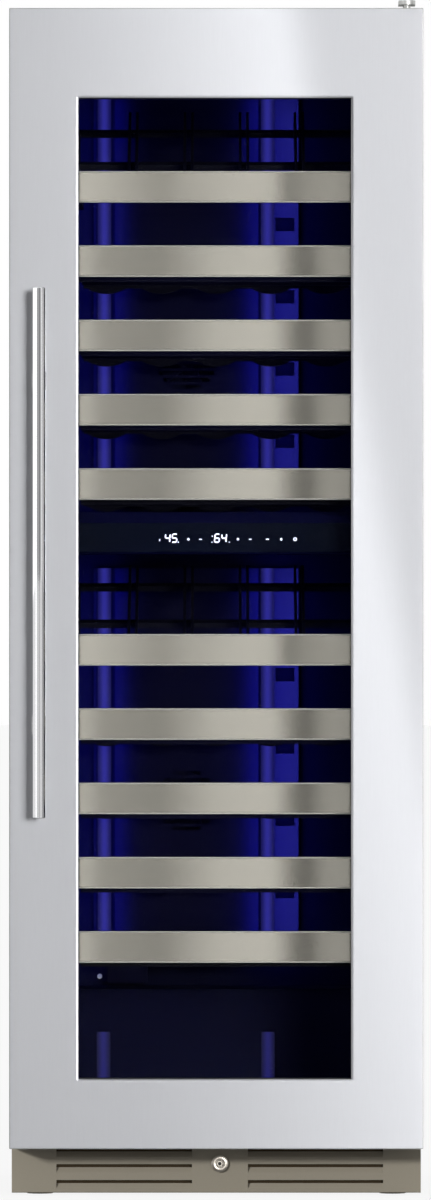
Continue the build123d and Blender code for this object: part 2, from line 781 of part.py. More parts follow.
def make_condenser_fan():
    """Condenser fan rotor on its shaft, blowing along X."""
    rotor = bladed_rotor(BIG_FAN_R, BIG_FAN_HUB_R, FAN_T, BIG_FAN_CHORD, SHAFT_R + PIN_FIT)
    fan_x, fan_y, fan_z = big_fan_centre()
    return Pos(fan_x + FAN_T / 2, fan_y, fan_z) * Rot(0, -90, 0) * rotor


def make_rear_grille():
    """Slotted cover over the machine compartment, with the power cord's gland."""
    y = (cabinet_back - SHEET, cabinet_back)
    grille = block(both(cabinet_x), y, (BASE_Z, bay_top))
    slot_x = (compressor_x + COMPRESSOR_R, cabinet_x - 3 * GRILLE_MARGIN)
    for slot in range(REAR_SLOTS):
        low = BASE_Z + 2 * GRILLE_MARGIN + slot * REAR_SLOT_PITCH
        grille -= block(slot_x, y, (low, low + REAR_SLOT_H))
    gland_x, gland_z = -cabinet_x + 4 * GRILLE_MARGIN, bay_top - 3 * GRILLE_MARGIN
    inner_end = (gland_x, cabinet_back - GLAND_L, gland_z)
    outer_end = (gland_x, cabinet_back + GLAND_L, gland_z)
    grille += rod(inner_end, (gland_x, cabinet_back, gland_z), GLAND_D / 2)
    grille -= rod(inner_end, outer_end, GLAND_BORE / 2)
    return grille


# ---------------------------------------------------------------- kick plate and lock
def make_kick_plate():
    """Pressed kick plate with returned edges, two banks of louvres and the lock's hole."""
    y = (kick_front, wrap_front)
    sheet = block(both(cabinet_x), y, (KICK_BOTTOM, KICK_TOP))
    ret_y = (wrap_front, wrap_front + KICK_RETURN)
    inner = cabinet_x - KICK_INSET
    sheet += block(both(inner), ret_y, (KICK_TOP - KICK_T, KICK_TOP))
    sheet += block(both(inner), ret_y, (KICK_BOTTOM, KICK_BOTTOM + KICK_T))
    for side in (-1, 1):
        low, high = sorted((LOUVRE_SHIFT + side * LOUVRE_GAP / 2, LOUVRE_SHIFT + side * (LOUVRE_GAP / 2 + LOUVRE_W)))
        for row in range(LOUVRE_ROWS):
            top = LOUVRE_TOP - row * LOUVRE_PITCH
            base = top - LOUVRE_H
            sheet -= block((low, high), y, (base, top))
            fin_top = top - LOUVRE_OPEN
            fin = [
                (kick_front, base),
                (kick_front, base - KICK_T),
                (wrap_front + LOUVRE_DEPTH, fin_top - KICK_T),
                (wrap_front + LOUVRE_DEPTH, fin_top),
            ]
            sheet += profile_x(fin, (low, high))
    sheet -= rod((lock_x, kick_front - 1, LOCK_Z), (lock_x, wrap_front + 1, LOCK_Z), LOCK_BODY_D / 2 + HOLE_FIT)
    tip_half = BOLT_TIP_W / 2 + SLOT_FIT
    tip_y = bolt_tip_y()
    slot_y = (tip_y[0] - SLOT_FIT, wrap_front + KICK_RETURN)
    return sheet - block((lock_x - tip_half, lock_x + tip_half), slot_y, (KICK_TOP - KICK_T, KICK_TOP))


def bolt_tip_y():
    """Front and back faces of the bolt's rising tip, just behind the kick plate's sheet."""
    return (wrap_front + BOLT_SETBACK, wrap_front + BOLT_SETBACK + BOLT_TIP_T)


def make_lock_housing():
    """Lock barrel: dished flange, threaded body and a guide for the bolt at its back."""
    flange_y = kick_front - LOCK_FLANGE_T
    body_back = kick_front + LOCK_BODY_L
    flange = rod((lock_x, kick_front, LOCK_Z), (lock_x, flange_y, LOCK_Z), LOCK_FLANGE_D / 2)
    flange = chamfer(flange.edges().filter_by(GeomType.CIRCLE).sort_by(Axis.Y)[0], LOCK_CHAMFER)
    body = flange + rod((lock_x, kick_front, LOCK_Z), (lock_x, body_back, LOCK_Z), LOCK_BODY_D / 2)
    guide_x = BOLT_W / 2 + BOLT_FIT
    guide_end = guide_x + GUIDE_T
    guide_z = (LOCK_Z - GUIDE_HALF_H, LOCK_Z + GUIDE_HALF_H)
    body += block((lock_x - guide_end, lock_x + guide_end), (body_back - GUIDE_T, body_back), guide_z)
    for side in (-1, 1):
        ear = sorted((lock_x + side * guide_x, lock_x + side * guide_end))
        body += block(ear, (body_back, body_back + CAM_T + 2 * BOLT_T), guide_z)
    bore = ROTOR_D / 2 + ROTOR_FIT
    return body - rod((lock_x, flange_y - 1, LOCK_Z), (lock_x, body_back + 1, LOCK_Z), bore)


def crank_offset():
    """How far the crank pin stands beside and below the rotor's axis when the bolt is down."""
    return CRANK_R * sin(radians(CRANK_ANGLE))


def make_lock_rotor():
    """Key rotor with its cam and crank pin at the back and the key hole at the front."""
    front = kick_front - LOCK_FLANGE_T
    body_back = kick_front + LOCK_BODY_L
    cam_front = body_back + BOLT_FIT
    cam_back = cam_front + CAM_T
    rotor = rod((lock_x, front, LOCK_Z), (lock_x, cam_back, LOCK_Z), ROTOR_D / 2)
    rotor += rod((lock_x, cam_front, LOCK_Z), (lock_x, cam_back, LOCK_Z), CAM_R)
    pin_x_at, pin_z_at = lock_x + crank_offset(), LOCK_Z - crank_offset()
    pin_end = cam_back + BOLT_T + CRANK_PIN_PROUD
    rotor += rod((pin_x_at, cam_back, pin_z_at), (pin_x_at, pin_end, pin_z_at), CRANK_PIN_D / 2)
    key = rod((lock_x, front, LOCK_Z), (lock_x, front + KEY_DEPTH, LOCK_Z), KEY_D / 2)
    slot_x = (lock_x - KEY_SLOT_W / 2, lock_x + KEY_SLOT_W / 2)
    key += block(slot_x, (front, front + KEY_DEPTH), (LOCK_Z - KEY_SLOT_H, LOCK_Z))
    return rotor - key


def make_lock_bolt():
    """Cranked bolt: its plate is lifted by the rotor's pin and its tip rises through the keeper."""
    body_back = kick_front + LOCK_BODY_L
    plate_front = body_back + BOLT_FIT + CAM_T + BOLT_FIT
    plate_y = (plate_front, plate_front + BOLT_T)
    tip_top = KEEPER_Z - BOLT_TIP_DROP
    jog_z = (LOCK_Z + BOLT_JOG, LOCK_Z + BOLT_JOG + BOLT_T)
    tip_y = bolt_tip_y()
    half = BOLT_W / 2
    plate = block((lock_x - half, lock_x + half), plate_y, (LOCK_Z - BOLT_TAIL, jog_z[1]))
    slot_low = crank_offset() - CRANK_PIN_D / 2 - CRANK_END_FIT
    slot_high = CRANK_R + CRANK_PIN_D / 2 + CRANK_END_FIT
    slot_z = LOCK_Z - crank_offset()
    slot_half = CRANK_PIN_D / 2 + BOLT_FIT
    plate -= block((lock_x + slot_low, lock_x + slot_high), plate_y, (slot_z - slot_half, slot_z + slot_half))
    tip_x = (lock_x - BOLT_TIP_W / 2, lock_x + BOLT_TIP_W / 2)
    jog = block(tip_x, (tip_y[0], plate_y[1]), jog_z)
    return plate + jog + block(tip_x, tip_y, (jog_z[0], tip_top))


def make_keeper():
    """Keeper on the door's lower back edge: a bent plate with a slot over the bolt."""
    x = (lock_x - KEEPER_W / 2, lock_x + KEEPER_W / 2)
    tip_y = bolt_tip_y()
    leg = block(x, (door_back, door_back + KEEPER_T), (DOOR_BOTTOM + SHEET, FRAME_BOTTOM + SHEET))
    z = (KEEPER_Z, KEEPER_Z + KEEPER_T)
    shelf = block(x, (door_back, tip_y[1] + KEEPER_LIP), z)
    slot_x = (lock_x - BOLT_TIP_W / 2 - SLOT_FIT, lock_x + BOLT_TIP_W / 2 + SLOT_FIT)
    return leg + shelf - block(slot_x, (tip_y[0] - SLOT_FIT, tip_y[1] + SLOT_FIT), z)


# ---------------------------------------------------------------- hinge hardware
def make_top_bracket():
    """Joggled top hinge: a foot on the cabinet's top, an arm over the door and a pin pointing down."""
    arm_z = door_top + ARM_GAP
    arm_back = wrap_front + HINGE_FOOT_D
    step_y = wrap_front + HINGE_STEP
    outline = [
        (pin_y, arm_z),
        (step_y, arm_z),
        (step_y, cabinet_top),
        (arm_back, cabinet_top),
        (arm_back, cabinet_top + ARM_T),
        (step_y + ARM_T, cabinet_top + ARM_T),
        (step_y + ARM_T, arm_z + ARM_T),
        (pin_y, arm_z + ARM_T),
    ]
    x = (pin_x - ARM_W / 2, pin_x + ARM_W / 2)
    bracket = profile_x(outline, x)
    bracket += rod((pin_x, pin_y, arm_z), (pin_x, pin_y, arm_z + ARM_T), ARM_W / 2)
    foot_x = (pin_x + HINGE_FOOT_REACH - HINGE_FOOT_W, pin_x + HINGE_FOOT_REACH)
    bracket += block(foot_x, (step_y, arm_back), (cabinet_top, cabinet_top + ARM_T))
    return bracket + rod((pin_x, pin_y, door_top - PIN_LEN), (pin_x, pin_y, arm_z), PIN_D / 2)


def lower_arm_z():
    """Lower and upper faces of the bottom hinge arm, under the base deck."""
    top = FRAME_BOTTOM
    return (top - ARM_T, top)


def make_bottom_bracket():
    """Bottom hinge: a flat arm bolted under the base deck, with a pin pointing up."""
    z = lower_arm_z()
    x = (pin_x - LOWER_ARM_W / 2, pin_x + LOWER_ARM_W / 2)
    bracket = block(x, (pin_y, wrap_front + HINGE_FOOT_D), z)
    bracket += rod((pin_x, pin_y, z[0]), (pin_x, pin_y, z[1]), LOWER_ARM_W / 2)
    foot_x = (pin_x + LOWER_FOOT_REACH - HINGE_FOOT_W, pin_x + LOWER_FOOT_REACH)
    bracket += block(foot_x, (wrap_front + LOWER_FOOT_SETBACK, wrap_front + HINGE_FOOT_D), z)
    pin_top = z[1] + NOTCH_GAP + PIN_LEN
    return bracket + rod((pin_x, pin_y, z[1]), (pin_x, pin_y, pin_top), PIN_D / 2)


def bush_spans():
    """Heights of the lower and upper hinge bushes."""
    lower = lower_arm_z()[1] + NOTCH_GAP
    length = PIN_LEN + PIN_END_GAP
    return [(lower, lower + length), (door_top - length, door_top)]


def make_bushes():
    """Plastic hinge bushes pressed into the door's lower and upper corners."""
    bushes = []
    for low, high in bush_spans():
        outer = rod((pin_x, pin_y, low), (pin_x, pin_y, high), PIN_D / 2 + BUSH_WALL)
        bushes.append(outer - rod((pin_x, pin_y, low - 1), (pin_x, pin_y, high + 1), PIN_D / 2 + PIN_FIT))
    return bushes


def hinge_cuts():
    """What the hinges take out of the door: two bush holes and a corner notch for the lower arm."""
    lower, upper = bush_spans()
    notch = block((door_x - NOTCH_W, door_x + 1), (door_front + SKIN, door_back + 1), (DOOR_BOTTOM - 1, lower[0]))
    holes = rod((pin_x, pin_y, lower[0] - 1), (pin_x, pin_y, lower[1]), PIN_D / 2 + BUSH_WALL)
    return notch + holes + rod((pin_x, pin_y, upper[0]), (pin_x, pin_y, upper[1] + 1), PIN_D / 2 + BUSH_WALL)


# ---------------------------------------------------------------- door
def make_door_skin():
    """Stainless door skin: a folded pan with rounded front edges and the window cut out."""
    pan = block(both(door_x), (door_front, door_back), (DOOR_BOTTOM, door_top))
    pan = fillet(pan.edges().group_by(Axis.Y)[0], DOOR_EDGE_R)
    inner = block(both(door_x - SKIN), (door_front + SKIN, door_back), (DOOR_BOTTOM + SKIN, door_top - SKIN))
    inner = fillet(inner.edges().group_by(Axis.Y)[0], DOOR_EDGE_R - SKIN)
    return pan - inner - block(window_x, (door_front, glass_front), window_z) - hinge_cuts()


def pane_outline():
    """Outline of the glazing unit behind the window's edge."""
    return [(low - GLASS_LAP, high + GLASS_LAP) for low, high in (window_x, window_z)]


def make_inner_frame():
    """Moulded door frame inside the skin, rebated for the glazing unit."""
    body = block(both(door_x - SKIN), (door_front + SKIN, door_back), (DOOR_BOTTOM + SKIN, door_top - SKIN))
    body = fillet(body.edges().group_by(Axis.Y)[0], DOOR_EDGE_R - SKIN)
    x, z = pane_outline()
    seat = block((x[0] - GLASS_FIT, x[1] + GLASS_FIT), (door_front, glass_back), (z[0] - GLASS_FIT, z[1] + GLASS_FIT))
    return body - seat - block(window_x, (door_front, door_back), window_z) - hinge_cuts()


def make_glazing():
    """Outer pane, spacer ring and inner pane of the sealed glazing unit."""
    x, z = pane_outline()
    outer = block(x, (glass_front, glass_front + PANE_T), z)
    inner = block(x, (glass_back - PANE_T, glass_back), z)
    gap = (glass_front + PANE_T, glass_back - PANE_T)
    ring = block(x, gap, z)
    ring -= block((x[0] + SPACER_W, x[1] - SPACER_W), gap, (z[0] + SPACER_W, z[1] - SPACER_W))
    return outer, ring, inner


def gasket_ring(inset, y):
    """One layer of the gasket, narrowed by an inset on both sides."""
    inner_x = cavity_x + GASKET_LIP
    low = CAVITY_FLOOR - GASKET_LIP
    high = cavity_top + GASKET_LIP
    outer = block(both(inner_x + GASKET_W - inset), y, (low - GASKET_W + inset, high + GASKET_W - inset))
    return outer - block(both(inner_x + inset), y, (low - inset, high + inset))


def make_gasket():
    """Magnetic door gasket: a base strip, a narrow bellows and the magnet's bulb."""
    base_end = door_back + GASKET_BASE_T
    neck_end = base_end + GASKET_NECK_T
    gasket = gasket_ring(0, (door_back, base_end))
    gasket += gasket_ring(GASKET_NECK_IN, (base_end, neck_end))
    return gasket + gasket_ring(0, (neck_end, cabinet_front - GASKET_GAP))


def handle_axis():
    """The handle bar's centre line as x and y."""
    return -door_x + HANDLE_INSET, handle_front + HANDLE_D / 2


def make_handle_bar():
    """Polished round handle bar with chamfered ends."""
    x, y = handle_axis()
    bar = rod((x, y, HANDLE_BOTTOM), (x, y, HANDLE_BOTTOM + HANDLE_LEN), HANDLE_D / 2)
    return chamfer(bar.edges().filter_by(GeomType.CIRCLE), HANDLE_CHAMFER)


def make_posts():
    """Two standoff posts between the door and the handle bar, each with a round saddle."""
    x, y = handle_axis()
    posts = []
    for z in (HANDLE_BOTTOM + POST_INSET, HANDLE_BOTTOM + HANDLE_LEN - POST_INSET):
        front = y + HANDLE_D / 2 - POST_SADDLE
        post = block((x - POST_W / 2, x + POST_W / 2), (front, door_front), (z - POST_H / 2, z + POST_H / 2))
        post = fillet(post.edges().filter_by(Axis.Y), POST_R)
        posts.append(post - rod((x, y, z - POST_H), (x, y, z + POST_H), HANDLE_D / 2))
    return posts


# ---------------------------------------------------------------- screws
def screw_head(place, direction):
    """A hexagonal screw head standing on a surface."""
    plane = Plane(origin=place, z_dir=direction)
    return extrude(plane * RegularPolygon(SCREW_HEAD_D / 2, 6), amount=SCREW_HEAD_H)


def make_screws():
    """Hexagon-head screws of the hinge brackets and the hood's tab."""
    screws = []
    foot_y = (wrap_front + HINGE_STEP + SCREW_FRONT_Y, wrap_front + HINGE_FOOT_D - SCREW_REAR_Y)
    for y in foot_y:
        for offset in (SCREW_EDGE_X, HINGE_FOOT_W - SCREW_EDGE_X):
            upper_x = pin_x + HINGE_FOOT_REACH - offset
            lower_x = pin_x + LOWER_FOOT_REACH - offset
            screws.append(screw_head((upper_x, y, cabinet_top + ARM_T), (0, 0, 1)))
            screws.append(screw_head((lower_x, y, lower_arm_z()[0]), (0, 0, -1)))
    tab = (HOOD_X[0] - HOOD_TAB / 2, cavity_back - DUCT_WALL, hood_z[0] + SCREW_HEAD_D)
    screws.append(screw_head(tab, (0, -1, 0)))
    return screws


# ---------------------------------------------------------------- write every sub-part
os.makedirs("parts", exist_ok=True)
write("outer_wrap", make_wrap())
write("back_panel", make_back_panel())
write("base_pan", make_base())
write("front_frame", make_front_frame())
write("inner_liner", make_liner())
write("insulation_foam", make_foam())
write("zone_divider", make_divider())
write("control_panel", make_panel())
write("light_strips", *make_lights())
write(
    "duct_covers",
    make_duct(upper_duct, upper_row_ends, upper_fan_z),
    make_duct(lower_duct, lower_row_ends, lower_fan_z),
    make_hood())
write(
    "evaporators",
    *make_evaporator(upper_fan_z, upper_duct[0] + DUCT_GAP),
    *make_evaporator(lower_fan_z, lower_duct[0] + DUCT_GAP))
write("evaporator_fan_upper", make_evaporator_fan(upper_fan_z))
write("evaporator_fan_lower", make_evaporator_fan(lower_fan_z))
write("shelf_rails", *make_rails())
write("floor_rack", *make_floor_rack())
write("kick_plate", make_kick_plate())
write("lock_housing", make_lock_housing())
write("lock_rotor", make_lock_rotor())
write("lock_bolt", make_lock_bolt())
write("door_keeper", make_keeper())
write("compressor", make_compressor())
write("condenser", *make_condenser())
write("condenser_fan", make_condenser_fan())
write("rear_grille", make_rear_grille())
write("top_hinge_bracket", make_top_bracket())
write("bottom_hinge_bracket", make_bottom_bracket())
write("hinge_bushes", *make_bushes())
write("screws", *make_screws())
write("door_frame", make_door_skin())
write("door_inner_frame", make_inner_frame())
outer_pane, pane_spacer, inner_pane = make_glazing()
write("outer_pane", outer_pane)
write("pane_spacer", pane_spacer)
write("inner_pane", inner_pane)
write("door_gasket", make_gasket())
write("handle_bar", make_handle_bar())
write("handle_posts", *make_posts())

for place, (x, y) in foot_places().items():
    write(f"foot_{place}", make_foot(x, y))

for zone, row_ends in (("upper", upper_row_ends), ("lower", lower_row_ends)):
    for number, top in enumerate(shelf_tops(row_ends), start=1):
        rack = make_tilted_rack(top) if number == 1 else make_flat_rack(top)
        write(f"{zone}_shelf_{number}_front", make_shelf_front(top))
        write(f"{zone}_shelf_{number}_rack", *rack)
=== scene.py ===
"""Wine cooler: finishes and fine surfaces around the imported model. Metres, +Z up, -Y the front, +X the hinge side."""

import bmesh
import bpy
import numpy as np
from math import cos, pi, radians, tan
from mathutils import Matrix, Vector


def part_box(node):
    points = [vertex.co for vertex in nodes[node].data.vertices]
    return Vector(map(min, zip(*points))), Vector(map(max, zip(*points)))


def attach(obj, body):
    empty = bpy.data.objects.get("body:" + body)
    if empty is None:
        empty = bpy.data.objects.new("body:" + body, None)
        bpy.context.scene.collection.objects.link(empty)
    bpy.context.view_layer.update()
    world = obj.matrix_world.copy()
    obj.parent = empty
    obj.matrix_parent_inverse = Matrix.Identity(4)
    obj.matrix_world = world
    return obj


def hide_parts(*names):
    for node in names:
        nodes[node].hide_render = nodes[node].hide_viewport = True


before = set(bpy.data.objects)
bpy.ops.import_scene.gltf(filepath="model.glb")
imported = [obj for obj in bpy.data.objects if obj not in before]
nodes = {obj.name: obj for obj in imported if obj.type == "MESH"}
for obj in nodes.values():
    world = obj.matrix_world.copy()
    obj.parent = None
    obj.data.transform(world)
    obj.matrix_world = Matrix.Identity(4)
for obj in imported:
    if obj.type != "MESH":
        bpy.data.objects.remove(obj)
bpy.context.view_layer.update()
MM = 0.001

# ---------------------------------------------------------------- cabinet shell
# Folded steel sides and top, and a plain rear sheet, screwed to a welded base on four nylon feet. The sides are
# powder coated in a fine-textured black, which takes light softly; the rear sheet shows bright zinc spangle.


def linear(hex_colour):
    """An sRGB hex colour as linear RGBA: each channel through the inverse of the sRGB curve."""
    channel = np.array([int(hex_colour[i:i + 2], 16) for i in (1, 3, 5)]) / 255
    low, high = channel / 12.92, ((channel + 0.055) / 1.055) ** 2.4
    return (*np.where(channel <= 0.04045, low, high), 1.0)


def add_node(tree, kind, sockets=None, **settings):
    """One shader node: settings go to its properties, and each socket gets a value or a link from a socket."""
    made = tree.nodes.new(kind)
    for name, value in settings.items():
        setattr(made, name, value)
    for name, value in (sockets or {}).items():
        if isinstance(value, bpy.types.NodeSocket):
            tree.links.new(value, made.inputs[name])
        else:
            made.inputs[name].default_value = value
    return made


def finish(name, colour, roughness, metallic=0.0, **more):
    """A named material with its plain numbers on the shader's own sockets; returns material, tree and shader."""
    material = bpy.data.materials.new(name)
    material.use_nodes = True
    shader = material.node_tree.nodes["Principled BSDF"]
    values = {"Base Color": linear(colour), "Roughness": roughness, "Metallic": metallic, **more}
    for socket, value in values.items():
        shader.inputs[socket].default_value = value
    return material, material.node_tree, shader


def textured(name, colour, other, roughness, grain, depth, metallic=0.0, stretch=(1, 1, 1), spread=0.1, **more):
    """A finish with one grain: noise of a real size in metres mixes two colours, varies the gloss and raises
    the surface by its depth in metres."""
    material, tree, shader = finish(name, colour, roughness, metallic, **more)
    place = add_node(tree, "ShaderNodeTexCoord")
    scaled = add_node(tree, "ShaderNodeMapping", {"Vector": place.outputs["Object"], "Scale": stretch})
    noise = add_node(tree, "ShaderNodeTexNoise", {
        "Vector": scaled.outputs["Vector"], "Scale": 1 / grain, "Detail": 4.0, "Roughness": 0.6})
    ramp = add_node(tree, "ShaderNodeValToRGB", {"Fac": noise.outputs["Fac"]})
    ramp.color_ramp.elements[0].position, ramp.color_ramp.elements[1].position = 0.3, 0.7
    ramp.color_ramp.elements[0].color, ramp.color_ramp.elements[1].color = linear(colour), linear(other)
    tree.links.new(ramp.outputs["Color"], shader.inputs["Base Color"])
    gloss = add_node(tree, "ShaderNodeMapRange", {
        "Value": noise.outputs["Fac"], "To Min": max(roughness - spread, 0.02), "To Max": min(roughness + spread, 1)})
    tree.links.new(gloss.outputs["Result"], shader.inputs["Roughness"])
    bump = add_node(tree, "ShaderNodeBump", {"Height": noise.outputs["Fac"], "Distance": depth, "Strength": 1.0})
    tree.links.new(bump.outputs["Normal"], shader.inputs["Normal"])
    return material


def dress(material, *names):
    """Gives carried-over nodes their material."""
    for name in names:
        nodes[name].data.materials.clear()
        nodes[name].data.materials.append(material)


# Orange-peel grain of a sprayed powder: no highlight has a sharp edge.
powder_coat = textured("fine-textured black powder coat", "#1B1B1D", "#242427", 0.55, 0.9 * MM, 0.05 * MM)
dress(powder_coat, "outer_wrap")
# Sprayed enamel on the face frame, a little smoother and deeper black than the coat.
face_coat = textured("satin black enamel", "#131315", "#18181A", 0.4, 0.6 * MM, 0.01 * MM)
dress(face_coat, "front_frame")
# Zinc spangle: flat crystals, each with its own grey and its own gloss.
SPANGLE = 12 * MM
galvanised, tree, shader = finish("hot-dip galvanised sheet", "#A4A7A9", 0.4, 1.0)
place = add_node(tree, "ShaderNodeTexCoord")
crystals = add_node(tree, "ShaderNodeTexVoronoi", {"Vector": place.outputs["Object"], "Scale": 1 / SPANGLE})
shade = add_node(tree, "ShaderNodeSeparateColor", {"Color": crystals.outputs["Color"]})
ramp = add_node(tree, "ShaderNodeValToRGB", {"Fac": shade.outputs["Red"]})
ramp.color_ramp.elements[0].color, ramp.color_ramp.elements[1].color = linear("#9DA0A3"), linear("#B9BCBE")
tree.links.new(ramp.outputs["Color"], shader.inputs["Base Color"])
gloss = add_node(tree, "ShaderNodeMapRange", {"Value": shade.outputs["Green"], "To Min": 0.32, "To Max": 0.5})
tree.links.new(gloss.outputs["Result"], shader.inputs["Roughness"])
dress(galvanised, "back_panel", "rear_grille")
# Dipped primer on the base: even, with a slight ripple.
base_coat = textured("black electrocoat", "#141415", "#1B1B1C", 0.5, 1.5 * MM, 0.02 * MM)
dress(base_coat, "base_pan")
# Foam poured between wrap and liner: pale yellow, with open cells where it shows.
foam = textured("rigid polyurethane foam", "#D9C78E", "#E3D39E", 0.9, 2 * MM, 0.3 * MM)
dress(foam, "insulation_foam")
# Moulded feet with the fine grain of a sparked tool.
foot_plastic = textured("moulded black nylon", "#151516", "#1C1C1D", 0.5, 0.7 * MM, 0.03 * MM)
dress(foot_plastic, "foot_front_left", "foot_front_right", "foot_rear_left", "foot_rear_right")

# ---------------------------------------------------------------- liner, divider, ducts and lights
# Vacuum-formed black ABS with a fine grain, so dark that it only shows where the blue light meets it; its navy tint is
# painted blue light from the bars. The duct covers and the rails are injection moulded and a little smoother, and their
# faint blue tint is painted blue light as well. Two blue light bars stand beside each duct.
DULL = {"Specular IOR Level": 0.02}
for making, node in (("vacuum-formed", "inner_liner"), ("moulded", "zone_divider")):
    dress(textured(f"{making} black ABS in painted blue light", "#05061A", "#07081F", 0.6, 1.2 * MM, 0.05 * MM, **DULL), node)
# Near-black, with a blue tint that is painted blue light.
duct_abs = textured("moulded black duct cover in painted blue light", "#07071C", "#0A0A22", 0.55, 0.8 * MM, 0.03 * MM, **DULL)
dress(duct_abs, "duct_covers", "shelf_rails", "evaporator_fan_upper", "evaporator_fan_lower", "condenser_fan")

# The bars' milky covers are brightest along their middle. The two short bars above the floor row run at half power.
LIGHT_CENTRES = (-0.166, 0.076)
LIGHT_HALF, EDGE_LEVEL = 10 * MM, 0.25
SHORT_BARS_END, LONG_BARS_START, SHORT_POWER = 0.25, 0.3, 0.5
light_bar, tree, shader = finish("blue light diffuser", "#040410", 0.5, **{"Specular IOR Level": 0.1})
place = add_node(tree, "ShaderNodeTexCoord")
sides = add_node(tree, "ShaderNodeSeparateXYZ", {"Vector": place.outputs["Object"]})
offsets = []
for centre in LIGHT_CENTRES:
    offset = add_node(tree, "ShaderNodeMath", {0: sides.outputs["X"], 1: centre}, operation="SUBTRACT")
    offsets.append(add_node(tree, "ShaderNodeMath", {0: offset.outputs["Value"]}, operation="ABSOLUTE"))
nearest = add_node(tree, "ShaderNodeMath", {
    0: offsets[0].outputs["Value"], 1: offsets[1].outputs["Value"]}, operation="MINIMUM")
soft_edge = add_node(tree, "ShaderNodeMapRange", {
    "Value": nearest.outputs["Value"], "From Min": 0.0, "From Max": LIGHT_HALF, "To Min": 1.0, "To Max": EDGE_LEVEL},
    interpolation_type="SMOOTHSTEP")
power = add_node(tree, "ShaderNodeMapRange", {
    "Value": sides.outputs["Z"], "From Min": SHORT_BARS_END, "From Max": LONG_BARS_START, "To Min": SHORT_POWER,
    "To Max": 1.0})
shown = add_node(tree, "ShaderNodeMath", {0: soft_edge.outputs["Result"], 1: power.outputs["Result"]},
                 operation="MULTIPLY")
shader.inputs["Emission Color"].default_value = linear("#2B2988")
tree.links.new(shown.outputs["Value"], shader.inputs["Emission Strength"])
dress(light_bar, "light_strips")

# Behind the covers and in the machine compartment: bare aluminium fins with rolling streaks, and a glossy enamelled
# compressor can.
coil = textured("mill-finish aluminium fin", "#AEB1B4", "#BEC1C4", 0.35, 3 * MM, 0.01 * MM, metallic=1.0)
dress(coil, "evaporators", "condenser")
can = textured("gloss black enamel", "#0B0B0C", "#101011", 0.2, 6 * MM, 0.02 * MM)
dress(can, "compressor")

# ---------------------------------------------------------------- racks
# One black moulding behind each shelf front, and one on the floor of the lower zone. Its scalloped bars or upright
# slats hold the bottles, and its tongues run in the grooved rails. The grain keeps it from shining.
rack_plastic = textured("moulded black rack", "#07070D", "#0A0A12", 0.5, 0.8 * MM, 0.02 * MM, **DULL)
shelf_names = [f"{zone}_shelf_{number}" for zone in ("upper", "lower") for number in range(1, 6)]
dress(rack_plastic, "floor_rack", *[f"{name}_rack" for name in shelf_names])

# ---------------------------------------------------------------- shelf fronts
# A roll-formed channel of stainless sheet, clipped over the rack's front bar. Its face is brushed lengthways and
# stands a little behind the rolled lip along its top and bottom edge, which is polished by the rolling.


def grid_faces(rows, columns, wrap_rows=False, wrap_columns=False):
    """Quads between neighbouring points of a rows-by-columns grid; wrap joins the last row or column to the first."""
    i = np.arange(rows if wrap_rows else rows - 1)[:, None]
    j = np.arange(columns if wrap_columns else columns - 1)[None, :]
    ring, step = (i + 1) % rows, (j + 1) % columns
    return np.stack(np.broadcast_arrays(
        i * columns + j, i * columns + step, ring * columns + step, ring * columns + j), -1).reshape(-1, 4)


def put(name, parts, body, materials, stands_for=(), sharp=35):
    """One piece from (points, faces) or (points, faces, material numbers) parts, with outward faces, on a body."""
    points, faces, numbers, base = [], [], [], 0
    for part_points, part_faces, *number in parts:
        flat = np.asarray(part_points, float).reshape(-1, 3)
        points.append(flat)
        faces += [[int(v) + base for v in face] for face in part_faces]
        numbers += list(np.broadcast_to(number[0] if number else 0, len(part_faces)))
        base += len(flat)
    mesh = bpy.data.meshes.new(name)
    mesh.from_pydata(np.concatenate(points).tolist(), [], faces)
    for material in materials if isinstance(materials, list) else [materials]:
        mesh.materials.append(material)
    mesh.polygons.foreach_set("material_index", numbers)
    shape = bmesh.new()
    shape.from_mesh(mesh)
    bmesh.ops.recalc_face_normals(shape, faces=shape.faces)
    shape.to_mesh(mesh)
    shape.free()
    mesh.shade_smooth()
    mesh.set_sharp_from_angle(angle=radians(sharp))
    piece = bpy.data.objects.new(name, mesh)
    bpy.context.scene.collection.objects.link(piece)
    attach(piece, body)
    if stands_for:
        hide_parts(*stands_for)
    return piece


def prism(outline, ends, axis):
    """A closed outline of 2-D points carried straight along one axis between two values, with flat ends."""
    outline = np.asarray(outline, float)
    count = len(outline)
    rings = [np.insert(outline, axis, end, axis=1) for end in ends]
    faces = grid_faces(len(rings), count, wrap_columns=True).tolist()
    last = (len(rings) - 1) * count
    return np.stack(rings), faces + [list(range(count)), list(range(last, last + count))[::-1]]


def arc(centre, radius, start, end, count):
    """Points on a circular arc: centre plus radius times cosine and sine of angles evenly spaced, in degrees."""
    angle = np.radians(np.linspace(start, end, count))
    return np.stack([centre[0] + radius * np.cos(angle), centre[1] + radius * np.sin(angle)], -1)


